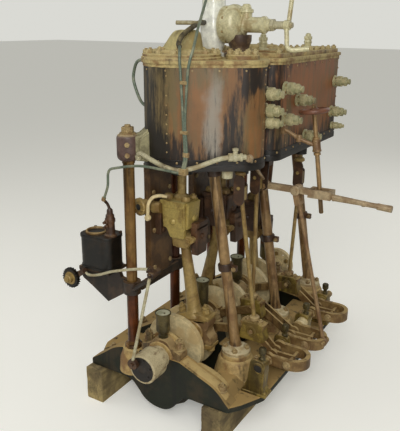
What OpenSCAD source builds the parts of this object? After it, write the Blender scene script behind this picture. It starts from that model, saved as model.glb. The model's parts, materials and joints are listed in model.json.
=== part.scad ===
// Vertical open-column steam engine with three cylinders, standing on two timbers.
// X runs across the engine, Y along the crankshaft towards the rear, and Z up.
// Every module is written from the crank axis and the bed's front, and place()
// shifts it so that the origin is under the middle of the whole engine.

/* [Timbers] */
// Height of the two timbers under the bed
timber_h = 157; // [140:1:180]
// Width of a timber
timber_w = 88; // [70:1:110]
// Length that the timbers reach to the rear
timber_rear = 1180; // [1150:5:1300]

/* [Bed and shaft] */
// Height of the crankshaft's axis over the floor
crank_z = 311; // [305:1:320]
// Distance between two main bearings
bay = 326; // [320:1:332]
// Half the width of the bed over its side flanges
bed_half = 404; // [400:1:430]
// Radius of the shaft in the main bearings
journal_r = 34; // [28:1:38]
// Radius of the crank pins
pin_r = 30; // [24:1:32]
// Distance from the shaft's axis to a crank pin
throw = 100; // [90:1:105]
// Direction of the first crank, from +X towards +Z
crank_turn = 44; // [0:1:90]
// Length of a connecting rod between its pins
rod_len = 470; // [450:1:490]

/* [Columns and guides] */
// Radius of the columns
column_r = 22; // [18:1:24]
// Distance of the left columns from the shaft's axis
left_col_x = 145; // [140:1:150]
// Distance of the right columns' feet from the shaft's axis
right_foot_x = 225; // [215:1:235]
// Distance of the right columns' tops from the shaft's axis
right_top_x = 98; // [90:1:110]
// Thickness of the guide plates
guide_t = 18; // [14:1:20]

/* [Cylinders] */
// Height of the cylinders' underside over the floor
deck_z = 1080; // [1070:1:1090]
// Height of the cylinders' top flange over the floor
head_z = 1462; // [1450:1:1475]
// Radius of the front cylinder's lagging
lag_r = 142; // [138:1:146]
// Thickness of the lagging sheet
lag_t = 5; // [4:0.5:6]
// Radius of the steam pipe
steam_r = 37; // [32:1:40]

/* [Valve gear] */
// Distance of the reversing shaft from the crank axis
weigh_x = 378; // [375:1:382]
// Height of the reversing shaft
weigh_z = 303; // [300:1:306]
// Length of the reversing shaft's arms, and of the lever's short arm
arm_len = 143; // [140:1:146]
// Depth of the plane of the reversing lever
lever_y = 465; // [462:1:468]
// Height of the reversing lever's pivot
lever_z = 955; // [950:1:960]
// Distance of the reversing lever's pivot from the crank axis
lever_x = 216; // [212:1:220]

/* [Clearances] */
// Radial gap of a running fit at a pin or journal
fit_gap = 0.05; // [0.02:0.01:0.1]
// Gap kept where a moving piece passes a fixed one
pass_gap = 6; // [5:0.5:8]

/* [Hidden] */
$fn = 48;

// Handle of the reversing lever
handle_x = 745;
handle_r = 13;
handle_dip = 3.5;

// How far the engine reaches on each side of the crank axis and the bed's front
reach_left = 446;
reach_right = handle_x + handle_r * sin(handle_dip);
reach_front = 147;
shift_x = (reach_left - reach_right) / 2;
shift_y = (reach_front - timber_rear) / 2;

// Planes along the shaft
front_y = -12;
bed_rear = 1090;
function bearing_y(i) = i == 0 ? 22 : -5 + bay * i;
function bearing_half(i) = i == 0 ? 34 : 35;
function cyl_y(i) = 158 + bay * i;
right_y = [227, 634, 1040];
left_y = [8, bearing_y(1), bearing_y(2), bearing_y(3)];

// Cranks stand a third of a turn apart
function crank_a(i) = crank_turn + 120 * i;
function pin_x(i) = throw * cos(crank_a(i));
function pin_z(i) = crank_z + throw * sin(crank_a(i));
function cross_z(i) = pin_z(i) + sqrt(rod_len * rod_len - pin_x(i) * pin_x(i));

// Bed levels
rail_top = 225;
flange_top = timber_h + 25;
left_foot_z = 308;
right_foot_z = 290;

// Lower end of the guide plates
guide_z = 606;

// Valve gear planes: ring on the shaft, arm, valve rod and fork for each cylinder
ring_y = [238, 388, 714];
arm_y = [265, 388, 714];
stem_y = [265, 414, 733];
fork_y = [275, lever_y, 752];
block_x = [286, 204, 240];
block_z = [388, 408, 408];
stem_x = [208, 204, 262];
stem_top = [958, 968, 930];
ecc_x = -16;
ecc_z = crank_z + 12;
ecc_r = 56;
weigh_r = 16;
weigh_pin_r = 9;
u_half = 65;
u_bar = 18;
u_h = 44;
u_reach = 154;
notch_half = 15;

// Casing outline
chest_x = 194;
chest_y = 252;
chest_r = 100;
wall_x = 295;
far_y0 = 372;
far_y1 = 1085;
deck_t = 22;
top_t = 12;

// Lever, handwheel and its slanted spindle
wheel_x = 411;
wheel_z = 1279;
spindle_tilt = 8.2;
spindle_r = 9;
spindle_len = 410;

// Throttle
valve_x = 137;
valve_y = 350;
valve_rise = 120;
valve_z = head_z + top_t + valve_rise;
pipe_x = 22;
pipe_rise = 166;
pipe_top = valve_z + pipe_rise;
throttle_x = 330;

// Lubricator
tank_x0 = -365;
tank_w = 155;
tank_y0 = -60;
tank_d = 115;
tank_z0 = 645;
tank_h = 140;
ratchet_x = -402;
ratchet_y = -70;
ratchet_z = 586;
ratchet_r = 44;

// Shifts a piece from the crank axis and bed front to the engine's own origin
module place() {
    translate([shift_x, shift_y, 0]) children();
}

// A round bar between two points
module bar(a, b, r) {
    d = b - a;
    flat = norm([d[0], d[1]]);
    translate(a)
        rotate([0, atan2(flat, d[2]), flat == 0 ? 0 : atan2(d[1], d[0])])
            cylinder(h = norm(d), r = r);
}

// A bent pipe through a list of points: a ball at each bend, and straight runs
// that stop inside the balls without meeting each other
module pipe(pts, r) {
    last = len(pts) - 2;
    for (i = [0 : last]) {
        way = (pts[i + 1] - pts[i]) / norm(pts[i + 1] - pts[i]);
        bar(pts[i] + (i > 0 ? 0.5 * r * way : [0, 0, 0]),
            pts[i + 1] - (i < last ? 0.5 * r * way : [0, 0, 0]), r);
    }
    for (i = [1 : 1 : last]) translate(pts[i]) sphere(r = 1.3 * r);
}

// A cylinder along Y, centred on its own length
module along_y(r, len) {
    rotate([90, 0, 0]) cylinder(h = len, r = r, center = true);
}

// A cylinder along X, centred on its own length
module along_x(r, len) {
    rotate([0, 90, 0]) cylinder(h = len, r = r, center = true);
}

// A flat profile in X and Z, given a length along Y from y0 to y1
module slab_y(y0, y1) {
    translate([0, y1, 0]) rotate([90, 0, 0]) linear_extrude(y1 - y0) children();
}

// Two circles of different size and the straight sides between them, sunk a hair
// below the tangent so that the arcs and the sides meet in clean edges
sink = 0.1;

module two_rounds(c1, r1, c2, r2) {
    d = c2 - c1;
    a = atan2(d[1], d[0]);
    b = acos((r1 - r2) / norm(d));
    translate(c1) circle(r = r1, $fn = 96);
    translate(c2) circle(r = r2, $fn = 96);
    polygon([
        c1 + (r1 - sink) * [cos(a + b), sin(a + b)], c1 + (r1 - sink) * [cos(a - b), sin(a - b)],
        c2 + (r2 - sink) * [cos(a - b), sin(a - b)], c2 + (r2 - sink) * [cos(a + b), sin(a + b)]
    ]);
}

// Outline of the front casing, grown by g
module near_outline(g) {
    two_rounds([0, cyl_y(0)], lag_r + g, [chest_x, chest_y], chest_r + g);
}

// A rectangle with its own radius at each of the four corners
module round_box(x0, x1, y0, y1, radii) {
    corners = [[x0, y0, 1, 1], [x1, y0, -1, 1], [x1, y1, -1, -1], [x0, y1, 1, -1]];
    pts = [for (i = [0 : 3]) let (c = corners[i], r = radii[i])
        each (i % 2 == 0
            ? [[c[0], c[1] + c[3] * r], [c[0] + c[2] * r, c[1]]]
            : [[c[0] + c[2] * r, c[1]], [c[0], c[1] + c[3] * r]])];
    polygon(pts);
    for (i = [0 : 3]) {
        c = corners[i];
        translate([c[0] + c[2] * radii[i], c[1] + c[3] * radii[i]])
            circle(r = radii[i], $fn = 96);
    }
}

// Outline of the rear casing, grown by g
module far_outline(g) {
    round_box(-lag_r - g, wall_x + g, far_y0 - g, far_y1 + g, [60 + g, 60 + g, 40 + g, 100 + g]);
}

// Timbers

module timber(x0, y0) {
    place() translate([x0, y0, 0]) cube([timber_w, timber_rear - y0, timber_h]);
}

module timber_left() {
    color("burlywood") timber(-375, -42);
}

module timber_right() {
    color("burlywood") timber(204, -20);
}

// Bedplate

// Section of a cross girder with its belly and its bearing seat
module girder_section(right_end) {
    polygon([
        [-bed_half + 37, timber_h], [-193, timber_h], [-134, 138], [-87, 88], [-40, 63],
        [30, 63], [70, 100], [103, 145], [142, timber_h], [right_end, timber_h],
        [right_end, 200], [250, 238], [110, 255], [95, crank_z], [-95, crank_z],
        [-98, crank_z - 6], [-185, crank_z - 12], [-240, 262], [-bed_half + 37, 185]
    ]);
}

// Thin closed trough that joins the bellies under the cranks
module trough_section() {
    difference() {
        polygon([
            [-193, timber_h], [-134, 138], [-87, 88], [-40, 63], [40, 63], [86, 92],
            [130, 142], [142, timber_h], [190, timber_h], [190, timber_h + 18], [-193, timber_h + 18]
        ]);
        polygon([
            [-180, timber_h + 19], [-120, 150], [-80, 102], [-36, 76], [34, 76],
            [74, 100], [114, 148], [134, timber_h + 10], [178, timber_h + 19]
        ]);
    }
}

module side_rail(side) {
    inner = side < 0 ? 215 : 186;
    slab_y(front_y, bed_rear)
        polygon([
            [side * inner, timber_h], [side * 318, timber_h], [side * 318, flange_top + 8],
            [side * 300, rail_top], [side * inner, rail_top]
        ]);
}

module side_flange(side) {
    translate([0, 0, timber_h]) linear_extrude(flange_top - timber_h)
        polygon([
            [side * 300, front_y], [side * 318, front_y], [side * bed_half, front_y + 145],
            [side * bed_half, bed_rear - 60], [side * 330, bed_rear], [side * 300, bed_rear]
        ]);
}

module bedplate() {
    color("darkolivegreen") place() difference() {
        union() {
            slab_y(front_y, 56) girder_section(318);
            for (i = [1 : 3])
                slab_y(bearing_y(i) - 35, bearing_y(i) + 35) girder_section(310);
            slab_y(bed_rear - 30, bed_rear) polygon([
                [-300, timber_h], [-193, timber_h], [-40, 63], [30, 63], [142, timber_h],
                [300, timber_h], [300, rail_top], [60, 240], [-60, 240], [-300, rail_top]
            ]);
            slab_y(front_y, bed_rear) trough_section();
            for (side = [-1, 1]) side_rail(side);
            for (side = [-1, 1]) side_flange(side);
            for (y = left_y) translate([-left_col_x, y, 200]) cylinder(h = left_foot_z - 200, r = 46);
            for (y = right_y) translate([right_foot_x, y, timber_h])
                cylinder(h = right_foot_z - timber_h, r1 = 58, r2 = 54);
        }
        for (i = [0 : 3]) translate([0, bearing_y(i), crank_z])
            along_y(journal_r + fit_gap, 2 * bearing_half(i) + 60);
        translate([0, bed_rear, crank_z]) along_y(journal_r + 6, 120);
    }
}

module bearing_caps() {
    color("dimgray") place() for (i = [0 : 3]) translate([0, bearing_y(i), crank_z]) {
        difference() {
            union() {
                rotate([90, 0, 0]) linear_extrude(60, center = true) polygon([
                    [-94, 0], [94, 0], [94, 30], [60, 34], [46, 62], [28, 72],
                    [-28, 72], [-46, 62], [-60, 34], [-94, 30]
                ]);
            }
            along_y(journal_r + fit_gap, 80);
        }
        for (x = [-75, 75]) translate([x, 0, 30]) {
            cylinder(h = 18, r = 17, $fn = 6);
            cylinder(h = 58, r = 9);
        }
    }
}

module oil_cups() {
    color("darkkhaki") place() for (i = [0 : 3]) {
        top = i == 0 ? 494 : 525;
        translate([i == 0 ? -4 : 0, bearing_y(i), crank_z + 72]) {
            cylinder(h = 22, r = 14);
            translate([0, 0, 22]) cylinder(h = top - crank_z - 72 - 28, r = 28);
            translate([0, 0, top - crank_z - 72 - 6]) cylinder(h = 6, r = 33);
        }
    }
}

// Crankshaft, drum and rods

module crankshaft() {
    color("tan") place() {
        for (i = [0 : 2]) translate([0, cyl_y(i), 0]) {
            for (s = [-1, 1]) translate([0, s * 49, crank_z]) along_y(132, 26);
            translate([pin_x(i), 0, pin_z(i)]) along_y(pin_r, 100);
        }
        y_in = [front_y, cyl_y(0) + 49, cyl_y(1) + 49, cyl_y(2) + 49];
        y_out = [cyl_y(0) - 49, cyl_y(1) - 49, cyl_y(2) - 49, 1150];
        for (i = [0 : 3]) translate([0, (y_in[i] + y_out[i]) / 2, crank_z])
            along_y(journal_r, y_out[i] - y_in[i]);
        for (i = [0 : 2]) translate([ecc_x, ring_y[i], ecc_z]) along_y(ecc_r, 24);
        difference() {
            translate([0, 1140, crank_z]) along_y(92, 24);
            for (a = [0 : 60 : 300])
                translate([68 * cos(a), 1140, crank_z + 68 * sin(a)]) along_y(8, 30);
        }
    }
}

module end_drum() {
    color("wheat") place() {
        translate([0, -86, crank_z]) along_y(61, 90);
        translate([0, (-41 + front_y) / 2, crank_z]) along_y(46, 41 + front_y);
        translate([-36, -137, 331]) along_y(8, 20);
    }
}

// A connecting rod: fork at the crosshead, tapered shank, and a split big end
module con_rod(i) {
    lean = atan2(pin_x(i), cross_z(i) - pin_z(i));
    place() translate([pin_x(i), cyl_y(i), pin_z(i)]) rotate([0, -lean, 0]) difference() {
        union() {
            translate([0, 0, 60]) cylinder(h = rod_len - 135, r1 = 23, r2 = 18);
            translate([-66, -30, -62]) cube([132, 60, 124]);
            translate([-40, -28, 61]) cube([80, 56, 22]);
            translate([-24, -56, rod_len - 92]) cube([48, 112, 22]);
            for (s = [-1, 1]) {
                translate([-24, s * 50 - 6, rod_len - 80]) cube([48, 12, 80]);
                translate([0, s * 50, rod_len]) along_y(32, 12);
            }
            for (x = [-50, 50]) translate([x, 0, 0]) {
                translate([0, 0, 62]) cylinder(h = 18, r = 15, $fn = 6);
                translate([0, 0, -84]) cylinder(h = 22, r = 15, $fn = 6);
                translate([0, 0, 80]) cylinder(h = 10, r = 8);
            }
        }
        along_y(pin_r + fit_gap, 80);
        translate([0, 0, rod_len]) along_y(16 + fit_gap, 140);
    }
}

module con_rod_1() {
    color("tan") con_rod(0);
}

module con_rod_2() {
    color("tan") con_rod(1);
}

module con_rod_3() {
    color("tan") con_rod(2);
}

// Piston rod, brass crosshead block, its pin and the slipper on the guide
module crosshead(i) {
    place() translate([0, cyl_y(i), cross_z(i)]) {
        translate([0, 0, 60]) cylinder(h = deck_z - cross_z(i), r = 18);
        along_y(16, 124);
        difference() {
            union() {
                translate([0, -43, 0]) rotate([-90, 0, 0]) linear_extrude(86)
                    polygon([[-56, 46], [56, 46], [72, 0], [72, -54], [-72, -54], [-72, 0]]);
                translate([0, 0, 52]) cylinder(h = 16, r = 30);
            }
        }
        translate([-left_col_x + 45, -50, -62]) cube([32, 100, 124]);
        for (x = [-50, 50]) translate([x, 0, 54]) cylinder(h = 20, r = 15, $fn = 6);
    }
}

module crosshead_1() {
    color("goldenrod") crosshead(0);
}

module crosshead_2() {
    color("goldenrod") crosshead(1);
}

module crosshead_3() {
    color("goldenrod") crosshead(2);
}

module guide_plates() {
    color("sienna") place() for (i = [0 : 2])
        translate([-left_col_x + 45 - guide_t, cyl_y(i) - 75, guide_z]) {
            cube([guide_t, 150, deck_z - guide_z]);
            translate([-14, 0, deck_z - guide_z - 40]) cube([14, 150, 40]);
        }
}

// Columns

module columns_left() {
    color("sandybrown") place() for (i = [0 : 3]) {
        top = i == 0 ? 1115 : deck_z;
        translate([-left_col_x, left_y[i], left_foot_z]) {
            cylinder(h = 14, r = 36);
            cylinder(h = top - left_foot_z, r = column_r);
        }
    }
}

module columns_right() {
    color("rosybrown") place() for (y = right_y) {
        translate([right_foot_x, y, right_foot_z]) cylinder(h = 20, r = 50);
        difference() {
            slope = (right_foot_x - right_top_x) / (deck_z - right_foot_z);
            bar([right_foot_x + 20 * slope, y, right_foot_z - 20],
                [right_top_x - 40 * slope, y, deck_z + 40], column_r);
            translate([0, y - 60, deck_z]) cube([400, 120, 100]);
            translate([100, y - 60, right_foot_z - 60]) cube([300, 120, 60]);
        }
    }
}

module column_head() {
    color("indianred") place() {
        translate([-left_col_x, left_y[0], 1115]) {
            cylinder(h = 88, r = 42);
            translate([0, 0, 88]) cylinder(h = 26, r = 24, $fn = 6);
            translate([0, 0, 114]) cylinder(h = 8, r = 14);
        }
        difference() {
            translate([-left_col_x, left_y[0], 1120]) rotate([0, 0, 46])
                translate([0, -28, 0]) cube([100, 56, 74]);
            translate([0, cyl_y(0), 1000]) cylinder(h = 300, r = lag_r, $fn = 96);
            translate([-60, -100, 1000]) cube([100, 300, 300]);
        }
    }
}

// Cylinders

// Cast deck with cylinders and valve chests on it, and glands below it
module cylinder_block() {
    bores = [86, 60, 74];
    walls = [118, 92, 106];
    color("saddlebrown") place() difference() {
        union() {
            translate([0, 0, deck_z]) linear_extrude(deck_t) union() {
                near_outline(3);
                far_outline(3);
                translate([60, 330]) square([120, 60]);
                translate([-left_col_x - 26, 310]) square([130, 100]);
                for (i = [1 : 3]) translate([-left_col_x, left_y[i]]) circle(r = 34);
            }
            for (i = [0 : 2]) translate([0, cyl_y(i), 0]) {
                translate([0, 0, deck_z - 40]) cylinder(h = 41, r = 44);
                translate([0, 0, deck_z + 1]) cylinder(h = head_z - deck_z - 1, r = walls[i]);
            }
            for (i = [0 : 2]) translate([stem_x[i], stem_y[i], deck_z - 34]) cylinder(h = 35, r = 26);
            translate([chest_x, chest_y, deck_z + 1]) cylinder(h = head_z - deck_z - 1, r = 76);
            translate([130, 400, deck_z + 1]) cube([130, 640, head_z - deck_z - 1]);
        }
        for (i = [0 : 2]) {
            translate([0, cyl_y(i), deck_z + 40]) cylinder(h = 500, r = bores[i]);
            translate([0, cyl_y(i), deck_z - 60]) cylinder(h = 200, r = 18 + fit_gap);
            translate([stem_x[i], stem_y[i], deck_z - 60]) cylinder(h = 200, r = 9 + fit_gap);
        }
        translate([chest_x, chest_y, deck_z + 40]) cylinder(h = 500, r = 58);
        for (y = [420, 740]) translate([148, y, deck_z + 40]) cube([94, 280, 500]);
    }
}

module lagging(z0) {
    translate([0, 0, z0]) linear_extrude(head_z - z0) difference() {
        children(0);
        children(1);
    }
}

module casing_front() {
    color("peru") place() lagging(deck_z + deck_t) {
        near_outline(0);
        near_outline(-lag_t);
    }
}

module casing_rear() {
    color("peru") place() lagging(deck_z + deck_t) {
        far_outline(0);
        far_outline(-lag_t);
    }
}

module top_plate() {
    color("khaki") place() translate([0, 0, head_z]) linear_extrude(top_t) union() {
        near_outline(7);
        far_outline(7);
        translate([60, 330]) square([120, 60]);
    }
}

// Round and square covers on top of the cylinders and valve chests
module cylinder_covers() {
    radii = [150, 92, 125];
    color("khaki") place() translate([0, 0, head_z + top_t]) {
        for (i = [0 : 2]) translate([0, cyl_y(i), 0]) {
            cylinder(h = 20, r = radii[i]);
            if (i > 0) cylinder(h = 34, r = radii[i] - 34);
        }
        translate([200, 258, 0]) cylinder(h = 18, r = 62);
        linear_extrude(18) round_box(132, 288, 398, 640, [14, 14, 14, 14]);
        linear_extrude(18) round_box(132, 288, 656, 1060, [14, 14, 14, 14]);
    }
}

module cover_dome() {
    color("khaki") place() translate([0, cyl_y(0), head_z + top_t + 20]) {
        cylinder(h = 14, r = 84);
        translate([0, 0, 14]) cylinder(h = 66, r1 = 78, r2 = 48);
        translate([0, 0, 80]) cylinder(h = 8, r = 20);
    }
}

// Steam pipe that rises from the cylinders to an open flange
module steam_pipe() {
    color("silver") place() difference() {
        base = head_z + top_t;
        union() {
            translate([pipe_x, valve_y, base]) {
                cylinder(h = 16, r = 41);
                cylinder(h = pipe_top - base, r = steam_r);
                translate([0, 0, pipe_top - base - 16]) cylinder(h = 16, r = 70);
            }
            translate([(pipe_x + valve_x - 57) / 2, valve_y, valve_z])
                along_x(30, valve_x - 77 - pipe_x);
        }
        translate([pipe_x, valve_y, base + 10]) cylinder(h = 400, r = steam_r - 6);
        translate([pipe_x, valve_y, 0]) for (a = [45 : 90 : 315])
            translate([56 * cos(a), 56 * sin(a), pipe_top - 20]) cylinder(h = 30, r = 6);
    }
}

// Stop valve body beside the steam pipe, with a flange, a bonnet and its stem
module stop_valve() {
    color("darkkhaki") place() translate([valve_x, valve_y, valve_z]) {
        translate([-59, 0, 0]) along_x(50, 16);
        translate([-43, 0, 0]) along_x(32, 20);
        sphere(r = 46, $fn = 64);
        translate([0, 0, -76]) cylinder(h = 66, r = 34);
        translate([0, 0, -102]) cylinder(h = 28, r = 50);
        translate([0, 0, head_z + top_t - valve_z]) cylinder(h = valve_z - 101 - head_z - top_t, r = 34);
        translate([0, 0, 36]) cylinder(h = 30, r = 30);
        translate([0, 0, 66]) cylinder(h = 12, r = 16);
        translate([58, 0, 0]) along_x(30, 40);
        translate([98, 0, 0]) along_x(19, 50);
        stem = throttle_x - valve_x;
        translate([(98 + stem) / 2, 0, 0]) along_x(13, stem - 122);
        translate([stem + 5, 0, 0]) along_x(9, 34);
    }
}

// Bent lever that turns on the stop valve's stem
module throttle_lever() {
    color("slategray") place() translate([throttle_x, valve_y, valve_z]) difference() {
        union() {
            along_x(17, 22);
            pipe([[0, 4, 0], [4, 10, 60], [10, 22, 150]], 7);
            pipe([[0, 0, 0], [2, -4, -40], [8, -10, -74], [20, -8, -84], [84, 10, -80]], 7);
            translate([10, 22, 150]) sphere(r = 12);
        }
        along_x(9 + fit_gap, 60);
    }
}

// Tall cups on the covers
module relief_valves() {
    color("darkkhaki") place() for (p = [[165, 500, 30], [225, 830, 30]])
        translate([p[0], p[1], head_z + p[2]]) {
            cylinder(h = 14, r = 22);
            translate([0, 0, 14]) cylinder(h = 30, r = 15);
            translate([0, 0, 44]) cylinder(h = 14, r = 19, $fn = 6);
            translate([0, 0, 58]) sphere(r = 10);
        }
}

// A cock body along +X: flange, body, hexagon and spindle
module cock(size) {
    along_x(18 * size, 12);
    translate([26 * size, 0, 0]) along_x(15 * size, 44 * size);
    translate([54 * size, 0, 0]) rotate([0, 90, 0])
        cylinder(h = 16 * size, r = 17 * size, $fn = 6, center = true);
    translate([74 * size, 0, 0]) along_x(8 * size, 28 * size);
}

module drain_cocks() {
    color("darkseagreen") place() {
        near_spots = [[296, 1352], [300, 1290], [300, 1245]];
        difference() {
            for (p = near_spots) translate([276, p[0], p[1]]) cock(1);
            translate([0, 0, deck_z]) linear_extrude(head_z - deck_z) near_outline(0);
        }
        far_spots = [[436, 1361], [440, 1241], [569, 1304], [672, 1142], [1011, 1346], [987, 1209]];
        for (p = far_spots) translate([wall_x + 6, p[0], p[1]]) cock(1);
        translate([wall_x + 6, 1016, 1139]) cock(0.7);
    }
}

module drain_pipe() {
    color("antiquewhite") place() {
        difference() {
            pipe([[-125, 6, 1142], [-76, -2, 1128], [-61, -4, 1056], [20, -8, 1050], [110, -4, 1054],
                [176, 30, 1058], [196, 168, 1060]], 9);
            translate([-left_col_x, left_y[0], 1100]) cylinder(h = 100, r = 42);
        }
        translate([196, 168, 1044]) cylinder(h = deck_z - 1044, r = 20);
        translate([236, 168, 1062]) along_x(12, 60);
        translate([262, 168, 1040]) cylinder(h = 38, r = 14);
    }
}

// Two long oil pipes down the front, and the lubricator's pipe. They are too thin
// for true rounds to matter, so twelve sides do.
module oil_pipes() {
    $fn = 12;
    color("darkslategray") place() {
        pipe([[20, 100, 1560], [60, 10, 1580], [117, -10, 1571], [101, -10, 1513],
            [112, -12, 1330], [122, -10, 1157], [116, -22, 1100]], 4.5);
        pipe([[60, 120, 1600], [150, 10, 1612], [179, -10, 1593], [141, -12, 1482],
            [138, -14, 1330], [138, -10, 1157], [128, -22, 1100]], 4.5);
        pipe([[-235, -40, 942], [-212, -40, 1000], [-204, -40, 1060], [-163, -40, 1079],
            [-55, -40, 1100], [43, -36, 1098], [108, -22, 1090]], 4.5);
        translate([122, -16, 1084]) cube([34, 30, 40], center = true);
        difference() {
            pipe([[-148, 130, 1466], [-211, 150, 1435], [-218, 150, 1378], [-181, 140, 1311],
                [-134, 126, 1287]], 6);
            translate([0, 0, deck_z]) linear_extrude(head_z - deck_z) near_outline(0.1);
            translate([0, 0, head_z]) linear_extrude(top_t) near_outline(7.1);
        }
    }
}

// Valve gear

// Strap ring on the shaft, arm to the brass block, and two bars to the reversing shaft
module eccentric_rod(i) {
    b = [block_x[i], block_z[i]];
    s = [weigh_x, weigh_z];
    a = atan2(s[1] - b[1], s[0] - b[0]);
    run = norm(s - b);
    arm_a = atan2(b[1] - ecc_z, b[0] - ecc_x);
    arm_run = norm(b - [ecc_x, ecc_z]);
    place() difference() {
        union() {
            translate([ecc_x, ring_y[i], ecc_z]) {
                along_y(76, 22);
                for (t = [arm_a + 90, arm_a - 90]) rotate([0, -t, 0])
                    translate([78, 0, 0]) cube([36, 18, 40], center = true);
            }
            y0 = min(ring_y[i] - 11, arm_y[i] - 9);
            y1 = max(ring_y[i] + 11, arm_y[i] + 9) + 3;
            translate([ecc_x, 0, ecc_z]) rotate([0, -arm_a, 0]) {
                translate([62, y0 + 2, -23]) cube([28, y1 - y0 - 4, 46]);
                translate([70, arm_y[i] - 9, -17]) cube([arm_run - 62, 18, 34]);
            }
            translate([b[0], stem_y[i], b[1]]) {
                y_in = min(arm_y[i] - 13, fork_y[i] - 28) - stem_y[i];
                y_out = max(arm_y[i] + 13, fork_y[i] + 28) - stem_y[i];
                translate([0, (y_in + y_out) / 2, 0]) along_y(14, y_out - y_in);
                translate([0, -22, 0]) rotate([-90, 0, 0]) linear_extrude(44)
                    polygon([[-38, 34], [38, 34], [54, -36], [-54, -36]]);
            }
            for (side = [-1, 1]) translate([b[0], fork_y[i] + side * 19, b[1]]) rotate([0, -a, 0]) {
                translate([-22, -5, -16]) cube([run + 12, 10, 32]);
                translate([run, 0, 0]) along_y(24, 12);
            }
        }
        translate([ecc_x, ring_y[i], ecc_z]) along_y(ecc_r + fit_gap, 60);
        translate([weigh_x, fork_y[i], weigh_z]) along_y(weigh_pin_r + fit_gap, 80);
    }
}

module eccentric_rod_1() {
    color("rosybrown") eccentric_rod(0);
}

module eccentric_rod_2() {
    color("rosybrown") eccentric_rod(1);
}

module eccentric_rod_3() {
    color("rosybrown") eccentric_rod(2);
}

// Valve rods from the brass blocks up to the valve spindles
module valve_rods() {
    color("tan") place() for (i = [0 : 2]) {
        foot = [block_x[i], stem_y[i], block_z[i] + 36];
        head = [stem_x[i], stem_y[i], stem_top[i]];
        translate(foot) cylinder(h = 14, r = 14);
        bar(foot + [0, 0, 8], head, 8.5);
        translate([head[0] - 15, head[1] - 17, head[2] - 20]) cube([30, 34, 54]);
        translate(head) along_y(12, 46);
        translate([head[0], head[1], head[2] + 30]) cylinder(h = deck_z + 20 - head[2] - 30, r = 9);
    }
}

// Reversing shaft in three lengths, joined by its U-shaped guides and their links
module reversing_shaft() {
    ends = [130, fork_y[0] - u_half, fork_y[0] + u_half, fork_y[1] - u_half,
        fork_y[1] + u_half, fork_y[2] - u_half, fork_y[2] + u_half, 940];
    color("rosybrown") place() {
        for (k = [0 : 3]) translate([weigh_x, (ends[2 * k] + ends[2 * k + 1]) / 2, weigh_z])
            along_y(weigh_r, ends[2 * k + 1] - ends[2 * k] + 2);
        for (k = [0 : 2]) translate([weigh_x, fork_y[k], weigh_z]) {
            difference() {
                translate([0, 0, -u_h / 2]) linear_extrude(u_h) difference() {
                    union() {
                        translate([0, -u_half]) square([u_reach - u_half, 2 * u_half]);
                        translate([u_reach - u_half, 0]) circle(r = u_half);
                    }
                    translate([-10, -u_half + u_bar]) square([u_reach - u_half + 10, 2 * (u_half - u_bar)]);
                    translate([u_reach - u_half, 0]) circle(r = u_half - u_bar);
                }
                if (k == 1) translate([u_reach - 50, -notch_half, -40]) cube([80, 2 * notch_half, 80]);
            }
            for (s = [-1, 1]) translate([0, s * (u_half - u_bar / 2), 0]) along_y(28, u_bar);
            along_y(weigh_pin_r, 2 * u_half - 10);
            translate([u_reach - u_half - 6, 0, 0]) along_y(8, 2 * u_half - 10);
            along_y(14, 14);
            translate([0, -6, -11]) cube([u_reach - u_half + 6, 12, 22]);
        }
        translate([weigh_x + arm_len, fork_y[1], weigh_z]) {
            for (s = [-1, 1]) translate([0, s * (notch_half + 7), 0]) along_y(16, 14);
            along_y(8, 2 * notch_half + 40);
        }
    }
}

module shaft_bearings() {
    color("darkkhaki") place() for (y = [150, 372, 610, 862]) difference() {
        slab_y(y - 16, y + 16) polygon([
            [weigh_x - 46, flange_top], [weigh_x + 24, flange_top],
            [weigh_x + 24, flange_top + 26], [weigh_x + 30, weigh_z + 24],
            [weigh_x - 30, weigh_z + 30], [weigh_x - 36, flange_top + 26], [weigh_x - 46, flange_top + 24]
        ]);
        translate([weigh_x, y, weigh_z]) along_y(weigh_r + fit_gap, 60);
    }
}

// Reversing linkage

module drag_rod() {
    top = [lever_x + arm_len, lever_z];
    low = [weigh_x + arm_len, weigh_z];
    a = atan2(top[1] - low[1], top[0] - low[0]);
    run = norm(top - low);
    color("brown") place() translate([low[0], lever_y, low[1]]) rotate([0, -a, 0]) difference() {
        union() {
            translate([14, 0, 0]) rotate([0, 90, 0]) cylinder(h = run - 50, r = 8.5);
            along_y(17, 18);
            for (s = [-1, 1]) {
                translate([run, s * 19, 0]) along_y(17, 8);
                translate([run - 52, s * 19 - 4, -12]) cube([52, 8, 24]);
            }
            translate([run - 62, -23, -12]) cube([14, 46, 24]);
        }
        along_y(8 + 0.6, 40);
        translate([run, 0, 0]) along_y(9 + fit_gap, 80);
    }
}

module reversing_lever() {
    slot_z = lever_z;
    slot_x = wheel_x + (wheel_z - slot_z) * tan(spindle_tilt);
    slot_half = spindle_r / cos(spindle_tilt) + 12 + pass_gap;
    slot_more = 12;
    color("slategray") place() difference() {
        union() {
            translate([lever_x, lever_y, lever_z]) along_y(22, 20);
            translate([lever_x, lever_y - 10, lever_z - 13]) cube([slot_x - lever_x - slot_half, 20, 26]);
            translate([lever_x + arm_len, lever_y, lever_z]) along_y(20, 20);
            translate([lever_x + arm_len, lever_y, lever_z]) along_y(9, 56);
            translate([slot_x - slot_half - 14, lever_y - 30, lever_z - 17])
                cube([2 * slot_half + slot_more + 28, 60, 34]);
            translate([handle_x, lever_y, lever_z - 20]) rotate([0, handle_dip - 90, 0]) {
                cylinder(h = handle_x - slot_x - slot_half - slot_more - 6, r = 10);
                cylinder(h = 56, r = handle_r);
            }
        }
        translate([slot_x - slot_half, lever_y - 16, lever_z - 60])
            cube([2 * slot_half + slot_more, 32, 120]);
        translate([lever_x, lever_y, lever_z]) along_y(9 + fit_gap, 60);
    }
}

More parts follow.
